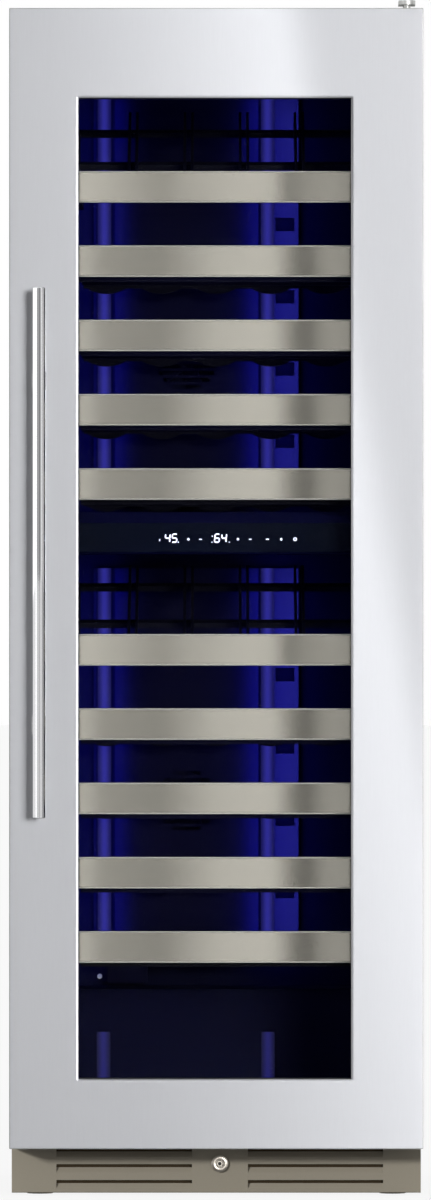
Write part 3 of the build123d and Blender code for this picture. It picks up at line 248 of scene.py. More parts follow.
# The brush lines are coarser than the real ones, so that they show as a faint lengthways grain.
BRUSH_LINE, ALONG_X = 0.5 * MM, (0.02, 1, 1)
brushed = textured("brushed stainless sheet", "#B4AEA4", "#BAB4AA", 0.12, BRUSH_LINE, 0.003 * MM, metallic=1.0,
                   stretch=ALONG_X, spread=0.03)
rolled_edge = textured("polished stainless edge", "#B2AFA8", "#B8B5AE", 0.3, BRUSH_LINE, 0.002 * MM, metallic=1.0,
                       stretch=ALONG_X, spread=0.03)
LIP, WALL, SET_BACK = 2.6 * MM, 1.2 * MM, 0.85 * MM
ARC_POINTS = 9
shelf_fronts = []
for name in shelf_names:
    low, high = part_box(f"{name}_front")
    front, back = low[1], high[1]
    bottom, top = low[2], high[2]
    face = front + SET_BACK
    inside = [(back, bottom), (back, bottom + WALL), (face + WALL + LIP, bottom + WALL),
              (face + WALL, bottom + WALL + LIP), (face + WALL, top - WALL - LIP), (face + WALL + LIP, top - WALL),
              (back, top - WALL), (back, top)]
    upper_lip = arc((front + LIP / 2, top - LIP / 2), LIP / 2, 90, 250, ARC_POINTS)
    lower_lip = arc((front + LIP / 2, bottom + LIP / 2), LIP / 2, 110, 270, ARC_POINTS)
    points, faces = prism(np.concatenate([inside, upper_lip, lower_lip]), (low[0], high[0]), 0)
    edge = np.arange(len(faces)) - len(inside)
    on_lip = (edge >= 0) & (edge < 2 * ARC_POINTS - 1) & (edge != ARC_POINTS - 1)
    shelf_fronts.append(put(f"{name}_lipped_front", [(points, faces, on_lip.astype(int))], name,
                            [brushed, rolled_edge], [f"{name}_front"]))

# ---------------------------------------------------------------- control panel
# A strip of back-printed black glass, bonded to the divider's front edge. Digits and touch legends shine through
# the print: two temperatures, a plus and a minus for each, and three small plain signs.
panel_glass = textured("black touch glass", "#04070F", "#060A13", 0.2, 20 * MM, 0.002 * MM, spread=0.02, **DULL)
dress(panel_glass, "control_panel")
legend_white, tree, shader = finish("lit white legend", "#FFFFFF", 0.6)
shader.inputs["Emission Color"].default_value = linear("#E8EAF4")
shader.inputs["Emission Strength"].default_value = 1.0

LEGEND_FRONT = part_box("control_panel")[0][1]
LEGEND_RISE = 0.1 * MM
LEGEND_Z = 0.9472
DIGIT_W, DIGIT_H, SEGMENT = 6.6 * MM, 11.6 * MM, 1.7 * MM
SLANT = 0.09


def segment_bar(start, end):
    """One lit segment: a six-pointed bar between two points, half a thickness short of each."""
    start, end = np.asarray(start, float), np.asarray(end, float)
    along = (end - start) / np.linalg.norm(end - start)
    across = np.array([-along[1], along[0]]) * SEGMENT / 2
    gap = along * SEGMENT * 0.12
    start, end = start + gap, end - gap
    inset = along * SEGMENT / 2
    return np.array([start, start + inset + across, end - inset + across, end, end - inset - across,
                     start + inset - across])


def legend(outline, x, z):
    """A flat legend: an outline of (x, z) points placed on the fascia and raised by a hair."""
    placed = np.asarray(outline) + [x, z]
    return prism(placed, (LEGEND_FRONT - LEGEND_RISE, LEGEND_FRONT), 1)


def digit(lit, x):
    """A seven-segment numeral from the letters of its lit segments, leaning to the right."""
    w, h = DIGIT_W / 2, DIGIT_H / 2
    ends = {"a": ((-w, h), (w, h)), "b": ((w, h), (w, 0)), "c": ((w, 0), (w, -h)), "d": ((-w, -h), (w, -h)),
            "e": ((-w, 0), (-w, -h)), "f": ((-w, h), (-w, 0)), "g": ((-w, 0), (w, 0))}
    bars = [segment_bar(*ends[letter]) for letter in lit]
    return [legend(bar + np.stack([bar[:, 1] * SLANT, 0 * bar[:, 1]], -1), x, LEGEND_Z) for bar in bars]


def rounded(width, height, radius, count=5):
    """A rectangle about the origin whose corners are quarter circles, anticlockwise."""
    x, z = width / 2 - radius, height / 2 - radius
    return np.concatenate([arc((x, z), radius, 0, 90, count), arc((-x, z), radius, 90, 180, count),
                           arc((-x, -z), radius, 180, 270, count), arc((x, -z), radius, 270, 360, count)])


def ring(radius, width, x, z, steps=24):
    """A flat ring on the fascia: a rectangle of radius and depth turned about the ring's centre."""
    front, back = LEGEND_FRONT - LEGEND_RISE, LEGEND_FRONT
    section = [(radius - width / 2, front), (radius + width / 2, front), (radius + width / 2, back),
               (radius - width / 2, back)]
    angle = np.linspace(0, 2 * pi, steps, endpoint=False)
    points = np.stack([
        np.stack([x + r * np.cos(angle), 0 * angle + y, z + r * np.sin(angle)], -1) for r, y in section])
    return points, grid_faces(4, steps, True, True).tolist()


SYMBOL_Z = LEGEND_Z - 1.6 * MM
DOT = rounded(1.5 * MM, 1.5 * MM, 0.7 * MM)
BAR = rounded(4.0 * MM, 1.1 * MM, 0.5 * MM)
WIDE_BAR = rounded(4.6 * MM, 1.4 * MM, 0.6 * MM)
STUB, STUB_OUT = rounded(1.1 * MM, 4.0 * MM, 0.5 * MM) * [1, 0.32], 1.35 * MM
DIAMOND = np.array([(0, 2.4), (1.7, 0), (0, -2.4), (-1.7, 0)]) * MM
TAIL = np.array([(0.6, 1.6), (0.9, -0.2), (-0.9, -2.0), (-0.4, 1.6)]) * MM
DIGITS = (("fgbc", -0.0702), ("afgcd", -0.0603), ("afgecd", 0.0012), ("fgbc", 0.0112))
LOW_DOTS, HIGH_DOT, TAIL_X = (-0.0548, 0.0188, -0.0062), -0.0058, -0.0817
PLUSES, MINUSES = (-0.0402, 0.0313), (-0.0228, 0.0491)
WIDE_BAR_X, DIAMOND_X, RING_X = 0.0739, 0.0938, 0.1139
display = [bar for lit, x in DIGITS for bar in digit(lit, x)]
display += [legend(DOT, x, LEGEND_Z - DIGIT_H / 2) for x in LOW_DOTS]
display += [legend(DOT, HIGH_DOT, LEGEND_Z + DIGIT_H / 4), legend(TAIL, TAIL_X, LEGEND_Z - DIGIT_H / 4)]
display += [legend(BAR, x, SYMBOL_Z) for x in PLUSES]
display += [legend(STUB + [0, side * STUB_OUT], x, SYMBOL_Z) for x in PLUSES for side in (-1, 1)]
display += [legend(BAR, x, SYMBOL_Z) for x in MINUSES]
display += [legend(WIDE_BAR, WIDE_BAR_X, SYMBOL_Z), legend(DIAMOND, DIAMOND_X, SYMBOL_Z)]
display += [ring(2.1 * MM, 0.9 * MM, RING_X, SYMBOL_Z), legend(DOT * 0.6, RING_X, SYMBOL_Z)]
put("lit_legends", display, "cabinet", legend_white)

# ---------------------------------------------------------------- kick plate
# One pressed sheet with rolled returns and two banks of louvres. Each louvre is a lanced slit, and the blade
# below it is pushed in at its top and comes back to the sheet at its foot. The powder coat is even and half matt.
# Behind each bank stands a dark brown foam sheet, which is painted shade, so that the slits show dark.
kick_coat = textured("taupe powder coat", "#8D8677", "#928B7C", 0.5, 0.8 * MM, 0.02 * MM)
SLIT, BLADE, PUSHED, SHEAR = 4.6 * MM, 12 * MM, 7 * MM, 0.3 * MM
RETURN = 12 * MM
LOUVRE_TOPS = np.array([67.0, 44.2, 21.3]) * MM
BANKS = np.array([(-230.6, -35.0), (45.7, 240.6)]) * MM
SHEET_T, TURN = 1.0 * MM, 1.5 * MM
SHADE_SHEET_LAP, SHADE_SHEET_SHORT, SHADE_SHEET_FRONT, SHADE_SHEET_BACK = 8 * MM, 6 * MM, 7.8 * MM, 11.4 * MM
LOCK_HOLE, LOCK_FIELD = 10 * MM, 12 * MM
low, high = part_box("kick_plate")
front, back = low[1], low[1] + RETURN
lock_low, lock_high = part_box("lock_rotor")
lock_x, lock_z = (lock_low[0] + lock_high[0]) / 2, (lock_low[2] + lock_high[2]) / 2


def pushed_in(x, z):
    """How far a blade stands behind the sheet: the full depth at the louvre's top, falling in a straight line to
    nothing at its foot, with sheared ends a hair wide."""
    deep = np.zeros(x.shape)
    for start, end in BANKS:
        reach = np.clip(np.minimum(x - start, end - x) / SHEAR, 0, 1)
        for top in LOUVRE_TOPS:
            down = (top - z) / BLADE
            inside = (down > SHEAR / BLADE / 2) & (down < 1)
            deep = np.maximum(deep, PUSHED * reach * (1 - down) * inside)
    return deep


# The grid's lines follow each bank's ends and blades, and lie closer together round the lock.
around_lock = np.linspace(-LOCK_FIELD, LOCK_FIELD, 17)
across = np.concatenate([[low[0], high[0]], lock_x + around_lock] + [np.concatenate([
    [start, start + SHEAR], np.linspace(start, end, 9)[1:-1], [end - SHEAR, end]]) for start, end in BANKS])
across = np.unique(np.round(across, 6))
up = np.concatenate([top - np.array([0, SHEAR, SLIT, BLADE / 2, BLADE]) for top in LOUVRE_TOPS]
                    + [lock_z + around_lock, [low[2] + TURN, high[2] - TURN]])
up = np.unique(np.round(up, 6))
lower_bend = arc((front + TURN, low[2] + TURN), TURN, 270, 180, 10)[:-1]
upper_bend = arc((front + TURN, high[2] - TURN), TURN, 180, 90, 10)[1:]
profile = np.concatenate([[(back, low[2])], lower_bend, np.stack([np.full(len(up), front), up], -1), upper_bend,
                          [(back, high[2])]])
x, depth = np.meshgrid(across, profile[:, 0])
z = np.meshgrid(across, profile[:, 1])[1]
depth = depth + pushed_in(x, z)
faces = grid_faces(len(profile), len(across))
middle_x, middle_z = x.reshape(-1)[faces].mean(1), z.reshape(-1)[faces].mean(1)
open_here = np.hypot(middle_x - lock_x, middle_z - lock_z) < LOCK_HOLE
for start, end in BANKS:
    for top in LOUVRE_TOPS:
        open_here |= (middle_x > start) & (middle_x < end) & (middle_z < top) & (middle_z > top - SLIT)
kick = put("pressed_kick_plate", [(np.stack([x, depth, z], -1), faces[~open_here])], "cabinet",
           kick_coat, ["kick_plate"])
kick.data.shade_flat()
wall = kick.modifiers.new("sheet", "SOLIDIFY")
wall.thickness, wall.offset = SHEET_T, -1
# Dark foam sheets behind the banks: painted shade, seen through the slits.
slit_shade_foam = textured("dark foam for painted slit shade", "#3A3022", "#463B2C", 0.9, 1.5 * MM, 0.5 * MM,
                       **{"Specular IOR Level": 0.1})
middle = (low[2] + high[2]) / 2
slit_shade_sheets = [prism(rounded(end - start + SHADE_SHEET_LAP, high[2] - low[2] - SHADE_SHEET_SHORT, 1 * MM)
                 + [(start + end) / 2, middle], (front + SHADE_SHEET_FRONT, front + SHADE_SHEET_BACK), 1) for start, end in BANKS]
put("louvre_filters", slit_shade_sheets, "cabinet", slit_shade_foam)

# ---------------------------------------------------------------- lock
# Tubular cam lock in satin nickel, nutted behind the kick plate: a domed flange, and a rotor whose face has a ring
# keyway, crossed by bars, round a centre hole. The rotor's pin lifts a zinc-plated bolt.
nickel = textured("satin nickel plate", "#B9B2A7", "#C2BBB0", 0.35, 1 * MM, 0.004 * MM, metallic=1.0)
dress(nickel, "lock_housing", "lock_rotor")
zinc = textured("zinc-plated steel", "#C6C7C4", "#D0D1CE", 0.4, 3 * MM, 0.005 * MM, metallic=0.6)
dress(zinc, "lock_bolt", "door_keeper", "bottom_hinge_bracket", "screws")
# Black for the keyway and the centre hole: painted shade in place of their depth.
keyway_painted_shade = textured("keyway in painted shade", "#080808", "#100F0E", 0.6, 1 * MM, 0.01 * MM)


def turned(r, angle, y):
    """Points turned about the lock's axis: its centre plus a radius times cosine and sine of an angle, at a depth."""
    return np.stack([lock_x + r * np.cos(angle), y, lock_z + r * np.sin(angle)], -1)


# The rotor's face: its height over the rotor steps down at the centre hole and the ring, except at the six bars. The
# stepped-down faces are black, which is painted shade for the depth of the keyway and the hole.
ROTOR_R, RING_IN, RING_OUT, KEY_R, RISE = 5.9 * MM, 4.1 * MM, 5.2 * MM, 2.6 * MM, 0.5 * MM
STEP, CHAMFER = 0.1 * MM, 0.3 * MM
AROUND, BARS, BAR_WIDE = 72, 6, 2
radius = np.array([0, KEY_R - STEP, KEY_R, RING_IN, RING_IN + STEP, RING_OUT - STEP, RING_OUT, ROTOR_R - CHAMFER,
                   ROTOR_R, ROTOR_R])
height = np.array([0.05, 0.05, 1, 1, 0.1, 0.1, 1, 1, 0.6, 0]) * RISE
turn = np.linspace(0, 2 * pi, AROUND, endpoint=False)
r, angle = np.meshgrid(radius, turn, indexing="ij")
on_bar = (np.arange(AROUND) % (AROUND // BARS) < BAR_WIDE)[None, :]
in_ring = (r > RING_IN + STEP / 2) & (r < RING_OUT - STEP / 2)
h = np.where(on_bar & in_ring, RISE, height[:, None])
faces = grid_faces(len(radius), AROUND, wrap_columns=True)
dark = h.reshape(-1)[faces].max(1) < 0.3 * RISE
last = (len(radius) - 1) * AROUND
put("lock_rotor_face", [(turned(r, angle, lock_low[1] - h), faces.tolist() + [list(range(last, last + AROUND))[::-1]],
                         np.append(dark.astype(int), 0))],
    "lock_rotor", [nickel, keyway_painted_shade], sharp=30)

# The flange's dome: a sine from an eighth of a turn, at the rotor, to half a turn, at the rim.
DOME, DOME_START, LIFT, RIM = 1.2 * MM, 0.25, 0.02 * MM, 0.2 * MM
flange_low, flange_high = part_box("lock_housing")
flange_r, mouth = (flange_high[0] - flange_low[0]) / 2 - RIM, ROTOR_R + CHAMFER
bow = np.linspace(0, 1, 15)
r, angle = np.meshgrid(np.append(mouth + bow * (flange_r - mouth), mouth), turn, indexing="ij")
h = np.append(DOME * np.sin(pi * (DOME_START + (1 - DOME_START) * bow)), 0)[:, None] + LIFT + 0 * r
put("lock_flange_dome", [(turned(r, angle, flange_low[1] - h),
                          grid_faces(len(r), AROUND, wrap_rows=True, wrap_columns=True))],
    "cabinet", nickel)

# ---------------------------------------------------------------- upper hinge
# A zinc-plated strap, bent from bar and screwed down: a wide rounded head over the door's corner, a narrow joggle
# that steps down behind the pin, and a foot on the cabinet's top. Its pin goes down into the door's bush.
STRAP_T, PIN_R, NECK, STEP_BACK = 6 * MM, 5 * MM, 5 * MM, 59 * MM
HEAD_R, PIN_INSET = 12 * MM, 20.5 * MM
hinge_low, hinge_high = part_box("top_hinge_bracket")
cabinet_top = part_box("outer_wrap")[1][2]
pin_x, pin_y = hinge_high[0] - PIN_INSET, hinge_low[1] + HEAD_R
step_y, under_head = hinge_low[1] + STEP_BACK, hinge_high[2] - STRAP_T
round_end = arc((pin_x, pin_y), HEAD_R, 180, 360, 25)


def slab(x, y, z):
    """A plain block from its three ranges."""
    return prism([(x[0], y[0]), (x[1], y[0]), (x[1], y[1]), (x[0], y[1])], z, 2)


strap = [
    prism(np.concatenate([round_end, [(pin_x + HEAD_R, step_y + STRAP_T), (pin_x - HEAD_R, step_y + STRAP_T)]]),
          (under_head, hinge_high[2]), 2),
    slab((pin_x - NECK, pin_x + NECK), (step_y, step_y + STRAP_T), (cabinet_top, under_head)),
    slab((hinge_low[0], hinge_high[0]), (step_y, hinge_high[1]), (cabinet_top, cabinet_top + STRAP_T)),
    prism(arc((pin_x, pin_y), PIN_R, 0, 350, 36), (hinge_low[2], under_head), 2)]
put("bent_hinge_strap", strap, "cabinet", zinc, ["top_hinge_bracket"])

# ---------------------------------------------------------------- door
# A folded pan of satin stainless with crisp bends: its face is ground, and the bends and returns take a rougher
# copy of the steel whose darker colour is painted shade along the edges. Behind it are a moulded ABS frame, a sealed
# pair of clear panes and a magnetic gasket.
# The ground grain runs upright and is drawn coarser than the real one, so that it softens what the sheet mirrors.
GROUND_LINE = 0.6 * MM
satin = textured("satin stainless sheet", "#BDBEC2", "#C0C1C5", 0.35, GROUND_LINE, 0.002 * MM, metallic=1.0,
                 stretch=(1, 1, 0.02), spread=0.03)
# The same steel, rougher, and darker as painted shade on the bends and returns.
shaded_satin_bend = textured("satin stainless bend in painted shade", "#A3A5A4", "#A9ABAA", 0.5, GROUND_LINE, 0.002 * MM, metallic=1.0,
                      spread=0.03)
dress(shaded_satin_bend, "door_frame")
low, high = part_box("door_frame")
pane_low, pane_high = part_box("outer_pane")
GLASS_LAP = 16 * MM
BEND_R, SHEET_LAP, WINDOW_TURN = 1.2 * MM, 3.1 * MM, 1.1 * MM
PROUD, UNDER, EDGE_BREAK = 0.15 * MM, 0.05 * MM, 0.1 * MM
CORNER_R, WINDOW_R = 1.8 * MM, 0.8 * MM


def loop_at(x, z, outward, radius, y):
    """One loop of the door's face sheet: the rectangle between two x and two z values, grown outward by a margin,
    with quarter-circle corners, at one depth."""
    width, tall = x[1] - x[0] + 2 * outward, z[1] - z[0] + 2 * outward
    loop = rounded(width, tall, radius + outward, 6) + [(x[0] + x[1]) / 2, (z[0] + z[1]) / 2]
    return np.insert(loop, 1, y, axis=1)


# The sheet as loops, from the window's return over the face and round the outer bend, then back along its inside.
outer = (low[0], high[0]), (low[2], high[2])
window = ((pane_low[0] + GLASS_LAP, pane_high[0] - GLASS_LAP), (pane_low[2] + GLASS_LAP, pane_high[2] - GLASS_LAP))
front = low[1]
bend = np.radians(np.linspace(0, 90, 6))
loops = [loop_at(*window, -EDGE_BREAK, WINDOW_R, front + WINDOW_TURN), loop_at(*window, -EDGE_BREAK, WINDOW_R, front),
         loop_at(*window, UNDER, WINDOW_R, front - PROUD), loop_at(*window, 3 * BEND_R, WINDOW_R, front - PROUD),
         loop_at(*outer, -1.5 * BEND_R, CORNER_R, front - PROUD)]
loops += [loop_at(*outer, EDGE_BREAK - BEND_R * (1 - np.sin(a)), CORNER_R, front - PROUD + BEND_R * (1 - np.cos(a)))
          for a in bend]
loops += [loop_at(*outer, EDGE_BREAK, CORNER_R, front + SHEET_LAP),
          loop_at(*outer, UNDER / 2, CORNER_R, front + SHEET_LAP),
          loop_at(*outer, UNDER / 2, CORNER_R, front - UNDER), loop_at(*window, -UNDER / 2, WINDOW_R, front - UNDER),
          loop_at(*window, -UNDER / 2, WINDOW_R, front + WINDOW_TURN)]
points = np.stack(loops)
faces = grid_faces(len(loops), points.shape[1], wrap_rows=True, wrap_columns=True)
loop_of_face = np.arange(len(faces)) // points.shape[1]
on_face = (loop_of_face >= 2) & (loop_of_face <= 4)
door_skin = put("folded_door_face", [(points, faces, np.where(on_face, 0, 1))], "door",
                [satin, shaded_satin_bend], sharp=60)

# Behind the sheet: grained ABS, a matt rubber gasket and bright acetal bushes.
door_abs = textured("moulded charcoal ABS", "#1E1E20", "#252528", 0.5, 1.0 * MM, 0.04 * MM)
dress(door_abs, "door_inner_frame", "pane_spacer")
gasket_rubber = textured("magnetic door gasket", "#3A3A3C", "#434345", 0.65, 1.5 * MM, 0.05 * MM)
dress(gasket_rubber, "door_gasket")
acetal = textured("white acetal", "#D6D5D0", "#DEDDD8", 0.35, 2 * MM, 0.01 * MM)
dress(acetal, "hinge_bushes")

# Low-reflection toughened glass: its index is kept near air's, because its coating hides its own reflection.
pane_glass, tree, shader = finish("coated clear toughened glass", "#FEFFFF", 0.0, **{
    "Transmission Weight": 1.0, "IOR": 1.03})
output = tree.nodes["Material Output"]
path = add_node(tree, "ShaderNodeLightPath")
clear = add_node(tree, "ShaderNodeBsdfTransparent")
through = add_node(tree, "ShaderNodeMixShader", {
    0: path.outputs["Is Shadow Ray"], 1: shader.outputs["BSDF"], 2: clear.outputs["BSDF"]})
tree.links.new(through.outputs["Shader"], output.inputs["Surface"])
dress(pane_glass, "outer_pane", "inner_pane")

# ---------------------------------------------------------------- handle
# A round stainless tube with closed, rounded ends on two posts, screwed through the door's face. It is polished,
# so it mirrors the studio as sharp upright lines.
polished = textured("polished stainless bar", "#DCDCDE", "#DFDFE1", 0.05, 30 * MM, 0.0005 * MM, metallic=1.0,
                    spread=0.02)


def revolve(profile, origin, axis, steps):
    """A profile of (radius, height) pairs turned about an axis through the origin: each point goes round a circle."""
    angle = np.linspace(0, 2 * pi, steps, endpoint=False)
    radius, height = np.asarray(profile, float).T
    round_points = np.zeros((len(radius), steps, 3))
    first, second = [a for a in range(3) if a != axis]
    round_points[..., first] = radius[:, None] * np.cos(angle)
    round_points[..., second] = radius[:, None] * np.sin(angle)
    round_points[..., axis] = height[:, None]
    faces = grid_faces(len(radius), steps, wrap_columns=True).tolist()
    last = (len(radius) - 1) * steps
    return round_points + np.asarray(origin), faces + [list(range(steps)), list(range(last, last + steps))[::-1]]


low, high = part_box("handle_bar")
radius = (high[0] - low[0]) / 2
END_ROUND = 1.6 * MM
half_profile = arc((radius - END_ROUND, low[2] + END_ROUND), END_ROUND, -90, 0, 6)
other_half = arc((radius - END_ROUND, high[2] - END_ROUND), END_ROUND, 0, 90, 6)
centre = ((low[0] + high[0]) / 2, (low[1] + high[1]) / 2, 0)
handle_tube = put("handle_tube", [revolve(np.concatenate([half_profile, other_half]), centre, 2, 64)],
                  "door", polished, ["handle_bar"], sharp=50)
dress(polished, "handle_posts")

# ---------------------------------------------------------------- light inside the cabinet
# What the blue bars give: a glow on the covers beside each bar, a paler spill on the duct covers alone, and a faint
# fill from the front. One set of lamps serves each zone.
BLUE, PALE_BLUE = linear("#4440FF"), linear("#8A88FF")
GLOW_Y, GLOW_WIDE, GLOW_WATTS = 0.215, 0.06, 0.9
SPILL_X, SPILL_WIDE, SPILL_WATTS = 0.1, 0.03, 4.5
FILL_X, FILL_Y, FILL_WIDE, FILL_WATTS = -0.03, -0.252, 0.36, 1.6
ZONE_HEIGHTS = {"upper": (1.0, 1.604), "lower": (0.345, 0.905)}


def lamp(name, place, size, watts, colour):
    """An upright rectangular lamp that faces the rear wall, and that is neither seen nor mirrored."""
    data = bpy.data.lights.new(name, "AREA")
    data.shape = "RECTANGLE"
    data.size, data.size_y = size
    data.energy, data.color = watts, colour[:3]
    made = bpy.data.objects.new(name, data)
    made.location, made.rotation_euler = place, (radians(90), 0, 0)
    made.visible_camera = made.visible_glossy = made.visible_transmission = False
    bpy.context.scene.collection.objects.link(made)
    return made


def linked(light, name, included, excluded=()):
    """Light linking: the light reaches only what is included, or all but what is excluded."""
    group = bpy.data.collections.new(name)
    for piece in [*included, *excluded]:
        group.objects.link(piece)
    for entry in group.collection_objects:
        entry.light_linking.link_state = "INCLUDE" if included else "EXCLUDE"
    light.light_linking.receiver_collection = group


for zone, (low_z, high_z) in ZONE_HEIGHTS.items():
    middle, tall = (low_z + high_z) / 2, high_z - low_z
    for side, x in zip(("left", "right"), LIGHT_CENTRES):
        lamp(f"glow_{zone}_{side}", (x, GLOW_Y, middle), (GLOW_WIDE, tall), GLOW_WATTS, BLUE)
    spill = lamp(f"spill_{zone}", (SPILL_X, GLOW_Y, middle), (SPILL_WIDE, tall), SPILL_WATTS, PALE_BLUE)
    linked(spill, f"spill on the {zone} cover", [nodes["duct_covers"]])
    lamp(f"fill_{zone}", (FILL_X, FILL_Y, middle), (FILL_WIDE, tall), FILL_WATTS, BLUE)

# ---------------------------------------------------------------- studio
# Pale floor and white surroundings, dark for a mirror only straight in front, where the camera stands. Reflectors
# that add to what each metal mirrors give it the broad soft bands of light that a studio's cards give.
world = bpy.data.worlds.new("studio")
bpy.context.scene.world = world
world.use_nodes = True
tree = world.node_tree
backdrop = tree.nodes["Background"]
path = add_node(tree, "ShaderNodeLightPath")
LAMP_LEVEL, FRONT_LEVEL = 0.55, 0.0
NEAR_FRONT, WIDE_OF_FRONT = 35, 60
direction = add_node(tree, "ShaderNodeTexCoord")
towards_front = add_node(tree, "ShaderNodeVectorMath", {0: direction.outputs["Generated"], 1: (0, -1, 0)},
                         operation="DOT_PRODUCT")
mirrored = add_node(tree, "ShaderNodeMapRange", {
    "Value": towards_front.outputs["Value"], "From Min": cos(radians(WIDE_OF_FRONT)),
    "From Max": cos(radians(NEAR_FRONT)), "To Min": 1.0, "To Max": FRONT_LEVEL}, interpolation_type="SMOOTHSTEP")
seen = add_node(tree, "ShaderNodeMath", {
    0: path.outputs["Is Camera Ray"], 1: path.outputs["Is Transmission Ray"]}, operation="MAXIMUM")
unseen = add_node(tree, "ShaderNodeMix", {
    0: path.outputs["Is Glossy Ray"], 2: LAMP_LEVEL, 3: mirrored.outputs["Result"]})
level = add_node(tree, "ShaderNodeMix", {0: seen.outputs["Value"], 2: unseen.outputs[0], 3: 1.0})
tree.links.new(level.outputs[0], backdrop.inputs["Strength"])
backdrop.inputs["Color"].default_value = (1, 1, 1, 1)


def stand_in(name, corners, material):
    """A flat rectangle of the studio, from its four corners."""
    mesh = bpy.data.meshes.new(name)
    mesh.from_pydata(corners, [], [(0, 1, 2, 3)])
    mesh.materials.append(material)
    made = bpy.data.objects.new(name, mesh)
    bpy.context.scene.collection.objects.link(made)
    return made


# The floor is white to the camera, also through the pane, and plain grey to everything else.
FLOOR_HALF, FLOOR_GLOW, GLOW_SHARE = 60.0, 1.1, 0.8
pale, tree, shader = finish("pale studio floor", "#BCBCBC", 0.9, **{"Specular IOR Level": 0.0})
path = add_node(tree, "ShaderNodeLightPath")
glow = add_node(tree, "ShaderNodeEmission", {"Color": (1, 1, 1, 1), "Strength": FLOOR_GLOW})
through_glass = add_node(tree, "ShaderNodeMath", {
    0: path.outputs["Is Transmission Ray"], 1: path.outputs["Diffuse Depth"]}, operation="SUBTRACT")
in_view = add_node(tree, "ShaderNodeMath", {0: path.outputs["Is Camera Ray"], 1: through_glass.outputs["Value"]},
                   operation="MAXIMUM")
share = add_node(tree, "ShaderNodeMath", {0: in_view.outputs["Value"], 1: GLOW_SHARE}, operation="MULTIPLY")
mixed = add_node(tree, "ShaderNodeMixShader", {
    0: share.outputs["Value"], 1: shader.outputs["BSDF"], 2: glow.outputs["Emission"]})
tree.links.new(mixed.outputs["Shader"], tree.nodes["Material Output"].inputs["Surface"])
stand_in("floor", [(-FLOOR_HALF, -FLOOR_HALF, 0), (FLOOR_HALF, -FLOOR_HALF, 0), (FLOOR_HALF, FLOOR_HALF, 0),
                   (-FLOOR_HALF, FLOOR_HALF, 0)], pale)

DOOR_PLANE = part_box("door_frame")[0][1]
CARD_FOOT, CARD_TOP = -0.6, 2.4


def card(name, corners, material, seen_by="glossy"):
    """A reflector that only one kind of ray meets."""
    made = stand_in(name, corners, material)
    made.visible_camera = made.visible_diffuse = made.visible_shadow = False
    made.visible_glossy = seen_by == "glossy"
    made.visible_transmission = seen_by == "transmission"
    return made


def front_card(away, half_width):
    """Corners of an upright card that stands this far in front of the door."""
    y = DOOR_PLANE - away
    return [(-half_width, y, CARD_FOOT), (half_width, y, CARD_FOOT), (half_width, y, CARD_TOP),
            (-half_width, y, CARD_TOP)]


def emitter(name, strength=1.0, adds=False, mirrored_only=False):
    """A material of plain emission, which may add to what lies behind it, or be there only for rays that a glossy
    surface has sent: its material, tree, emission shader and object coordinates."""
    material = bpy.data.materials.new(name)
    material.use_nodes = True
    tree = material.node_tree
    tree.nodes.remove(tree.nodes["Principled BSDF"])
    light = add_node(tree, "ShaderNodeEmission", {"Strength": strength})
    surface = light.outputs["Emission"]
    if adds:
        clear = add_node(tree, "ShaderNodeBsdfTransparent")
        surface = add_node(tree, "ShaderNodeAddShader", {0: surface, 1: clear.outputs["BSDF"]}).outputs["Shader"]
    if mirrored_only:
        clear = add_node(tree, "ShaderNodeBsdfTransparent")
        path = add_node(tree, "ShaderNodeLightPath")
        sent = add_node(tree, "ShaderNodeMath", {0: path.outputs["Glossy Depth"], 1: 1.0}, operation="MINIMUM")
        surface = add_node(tree, "ShaderNodeMixShader", {
            0: sent.outputs["Value"], 1: clear.outputs["BSDF"], 2: surface}).outputs["Shader"]
    tree.links.new(surface, tree.nodes["Material Output"].inputs["Surface"])
    material.cycles.emission_sampling = "NONE"
    place = add_node(tree, "ShaderNodeTexCoord")
    sides = add_node(tree, "ShaderNodeSeparateXYZ", {"Vector": place.outputs["Object"]})
    return material, tree, light, sides


def banded(tree, value, low, high, stops):
    """A colour ramp over a range of one coordinate, from (coordinate, linear colour) stops."""
    spread = add_node(tree, "ShaderNodeMapRange", {"Value": value, "From Min": low, "From Max": high})
    bands = add_node(tree, "ShaderNodeValToRGB", {"Fac": spread.outputs["Result"]})
    while len(bands.color_ramp.elements) < len(stops):
        bands.color_ramp.elements.new(0.5)
    for element, (position, colour) in zip(bands.color_ramp.elements, stops):
        element.position, element.color = (position - low) / (high - low), colour
    return bands.outputs["Color"]


def sloped(tree, sides, at_floor, per_height):
    """A line on the card: x at the floor plus a slope times height, as a socket."""
    made = add_node(tree, "ShaderNodeMath", {0: sides.outputs["Z"], 1: per_height, 2: at_floor},
                    operation="MULTIPLY_ADD")
    return made.outputs["Value"]


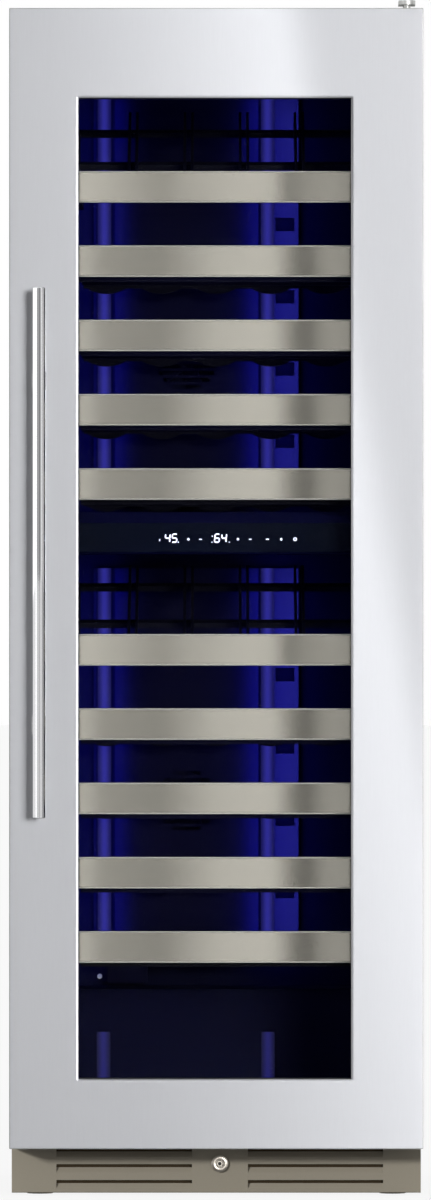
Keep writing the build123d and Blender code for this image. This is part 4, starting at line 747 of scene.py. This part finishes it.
# The door's reflector: a band that rises towards the hinge side up to a leaning ridge, and falls off behind it.
DOOR_CARD_AWAY, DOOR_CARD_HALF = 0.065, 0.7
RISE_START, RIDGE = (-0.1267, -0.107), (0.3734, -0.173)
RISE_CURVE, RIDGE_FALL, CARD_PEAK = 1.6, 0.07, 0.52
CARD_BASE = (0.04, -0.025)
door_card, tree, light, sides = emitter("door reflector", adds=True)
rise_start = sloped(tree, sides, *RISE_START)
ridge = sloped(tree, sides, *RIDGE)
ridge_end = add_node(tree, "ShaderNodeMath", {0: ridge, 1: RIDGE_FALL}, operation="ADD").outputs["Value"]
rise = add_node(tree, "ShaderNodeMapRange", {"Value": sides.outputs["X"], "From Min": rise_start, "From Max": ridge})
rise = add_node(tree, "ShaderNodeMath", {0: rise.outputs["Result"], 1: RISE_CURVE}, operation="POWER")
fall = add_node(tree, "ShaderNodeMapRange", {
    "Value": sides.outputs["X"], "From Min": ridge, "From Max": ridge_end, "To Min": 1.0, "To Max": 0.0},
    interpolation_type="SMOOTHSTEP")
band = add_node(tree, "ShaderNodeMath", {0: rise.outputs["Value"], 1: fall.outputs["Result"]}, operation="MULTIPLY")
base = sloped(tree, sides, *CARD_BASE)
strength = add_node(tree, "ShaderNodeMath", {0: band.outputs["Value"], 1: CARD_PEAK, 2: base},
                    operation="MULTIPLY_ADD")
tree.links.new(strength.outputs["Value"], light.inputs["Strength"])
door_metal = [door_skin, nodes["door_frame"]]
linked(card("door_card", front_card(DOOR_CARD_AWAY, DOOR_CARD_HALF), door_card), "the door skin", door_metal)

# The handle's reflector: one strip of light for each direction in which the bar's sides mirror the studio. The
# strips are given by the angle from straight ahead and by what they add to the surroundings.
HANDLE_CARD_AWAY, HANDLE_CARD_HALF = 0.29, 1.2
HANDLE_STRIPS = ((-60, 0.1), (-52, 0.4), (-44, 0.6), (-36, 0.62), (-28, 0.52), (2, 0.44), (6, 0.18), (10, 0.18),
                 (15, 0.52), (24, 0.62), (36, 0.6), (46, 0.35), (54, 0.0))
low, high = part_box("handle_bar")
axis_x, reach = (low[0] + high[0]) / 2, HANDLE_CARD_AWAY + DOOR_PLANE - (low[1] + high[1]) / 2
handle_card, tree, light, sides = emitter("handle reflector", adds=True)
stops = [(axis_x + reach * tan(radians(angle)), (level, level, level, 1)) for angle, level in HANDLE_STRIPS]
tree.links.new(banded(tree, sides.outputs["X"], -HANDLE_CARD_HALF, HANDLE_CARD_HALF, stops), light.inputs["Color"])
handle_parts = [handle_tube, nodes["handle_posts"]]
linked(card("handle_card", front_card(HANDLE_CARD_AWAY, HANDLE_CARD_HALF), handle_card), "the handle alone",
       handle_parts)

# Beside the handle, a card on the left that adds light and a plain grey flag on the right.
SIDE_CARD_LEVEL, SIDE_FLAG_LEVEL = 0.65, 0.5
side_card = card("side_card", [(-1.6, -2.0, 0), (-1.6, 1.5, 0), (-1.6, 1.5, CARD_TOP), (-1.6, -2.0, CARD_TOP)],
                 emitter("side reflector", SIDE_CARD_LEVEL, adds=True)[0])
linked(side_card, "side reflector on the handle", handle_parts)
side_flag = card("side_flag", [(1.2, -1.1, 0), (1.6, -0.4, 0), (1.6, -0.4, CARD_TOP), (1.2, -1.1, CARD_TOP)],
                 emitter("dark side flag", SIDE_FLAG_LEVEL)[0])
linked(side_flag, "side flag on the handle", handle_parts)

# One even card for the hinges and the lock.
FITTINGS_AWAY, FITTINGS_HALF, FITTINGS_LEVEL = 0.26, 0.9, 0.55
fittings_card = card("fittings_card", front_card(FITTINGS_AWAY, FITTINGS_HALF),
                     emitter("fittings reflector", FITTINGS_LEVEL, adds=True)[0])
linked(fittings_card, "hinges and lock", [nodes[name] for name in (
    "bottom_hinge_bracket", "lock_housing", "lock_rotor", "screws", "hinge_bushes")]
    + [bpy.data.objects[name] for name in ("lock_rotor_face", "lock_flange_dome", "bent_hinge_strap")])

# The shelf fronts' reflector: broad lit bands with a dark gap between them, given by place and by level of light.
# The first row of a zone sees paler surroundings than the other rows do.
SHELF_CARD_AWAY, SHELF_CARD_HALF, FRONT_HALF = 0.3, 2.0, 0.2
FIRST_ROWS = ((-0.2, 1.0), (-0.08, 0.55), (-0.04, 0.75), (0.04, 0.95), (0.085, 0.95), (0.105, 0.25), (0.13, 0.5),
              (0.2, 0.6))
OTHER_ROWS = ((-0.2, 0.95), (-0.17, 0.55), (-0.08, 0.45), (0.0, 0.9), (0.085, 1.0), (0.115, 0.3), (0.135, 0.15),
              (0.155, 0.5), (0.2, 0.6))
shelf_card, tree, light, sides = emitter("shelf reflector", mirrored_only=True)
ROW_REACH, ROW_BLEND = 0.05, 0.008
nearest = None
for zone in ("upper", "lower"):
    low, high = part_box(f"{zone}_shelf_1_front")
    offset = add_node(tree, "ShaderNodeMath", {0: sides.outputs["Z"], 1: (low[2] + high[2]) / 2}, operation="SUBTRACT")
    offset = add_node(tree, "ShaderNodeMath", {0: offset.outputs["Value"]}, operation="ABSOLUTE").outputs["Value"]
    nearest = offset if nearest is None else add_node(
        tree, "ShaderNodeMath", {0: nearest, 1: offset}, operation="MINIMUM").outputs["Value"]
first_row = add_node(tree, "ShaderNodeMapRange", {
    "Value": nearest, "From Min": ROW_REACH - ROW_BLEND, "From Max": ROW_REACH + ROW_BLEND, "To Min": 1.0,
    "To Max": 0.0})
bands = [banded(tree, sides.outputs["X"], -FRONT_HALF, FRONT_HALF, [(x, (level, level, level, 1)) for x, level in rows])
         for rows in (OTHER_ROWS, FIRST_ROWS)]
both = add_node(tree, "ShaderNodeMix", {0: first_row.outputs["Result"], 6: bands[0], 7: bands[1]}, data_type="RGBA")
tree.links.new(both.outputs[2], light.inputs["Color"])
card("shelf_card", front_card(SHELF_CARD_AWAY, SHELF_CARD_HALF), shelf_card, "transmission")

# The same fronts without the pane before them, with the door open, mirror one even card.
OPEN_CARD_AWAY, OPEN_CARD_HALF, OPEN_CARD_LEVEL = 0.5, 1.2, 0.8
open_door_card = card("open_door_card", front_card(OPEN_CARD_AWAY, OPEN_CARD_HALF),
                      emitter("open door shelf reflector", OPEN_CARD_LEVEL, adds=True)[0])
linked(open_door_card, "the shelf fronts alone", shelf_fronts)


def sun(name, energy, size, elevation, azimuth):
    """A sun lamp in front of the door, from its size across, its height and its azimuth, all in degrees; the
    azimuth counts from straight ahead towards the hinge side."""
    data = bpy.data.lights.new(name, "SUN")
    data.energy, data.angle = energy, radians(size)
    made = bpy.data.objects.new(name, data)
    made.rotation_euler = (radians(90 - elevation), 0, radians(azimuth))
    bpy.context.scene.collection.objects.link(made)
    return made


KEY, DOOR_KEY, LOW_KEY = (1.6, 16, 9, 17), (1.15, 15, 4, 17), (2.4, 7, 15, -42)
linked(sun("key", *KEY), "all but the door's metal, the bar and the kick plate", [],
       [*door_metal, *handle_parts, kick])
linked(sun("door_key", *DOOR_KEY), "the door's metal alone", door_metal)
linked(sun("low_key", *LOW_KEY), "the kick plate alone", [kick])

# ---------------------------------------------------------------- camera
# A long lens, straight in front of the door at half its height, so that the cabinet's sides stay hidden behind the
# door. VIEW_HEIGHT is what the frame's height covers at the door's face.
DISTANCE, VIEW_HEIGHT, SENSOR = 16.0, 1.7244, 36.0
CAMERA_X, CAMERA_Z = -0.0011, 0.8579
lens = bpy.data.cameras.new("camera")
lens.sensor_fit = "VERTICAL"
lens.sensor_height = SENSOR
lens.lens = SENSOR * DISTANCE / VIEW_HEIGHT
lens.clip_end = 100
camera = bpy.data.objects.new("camera", lens)
camera.location = (CAMERA_X, DOOR_PLANE - DISTANCE, CAMERA_Z)
camera.rotation_euler = (radians(90), 0, 0)
bpy.context.scene.collection.objects.link(camera)
bpy.context.scene.camera = camera
bpy.context.scene.view_settings.view_transform = "Standard"
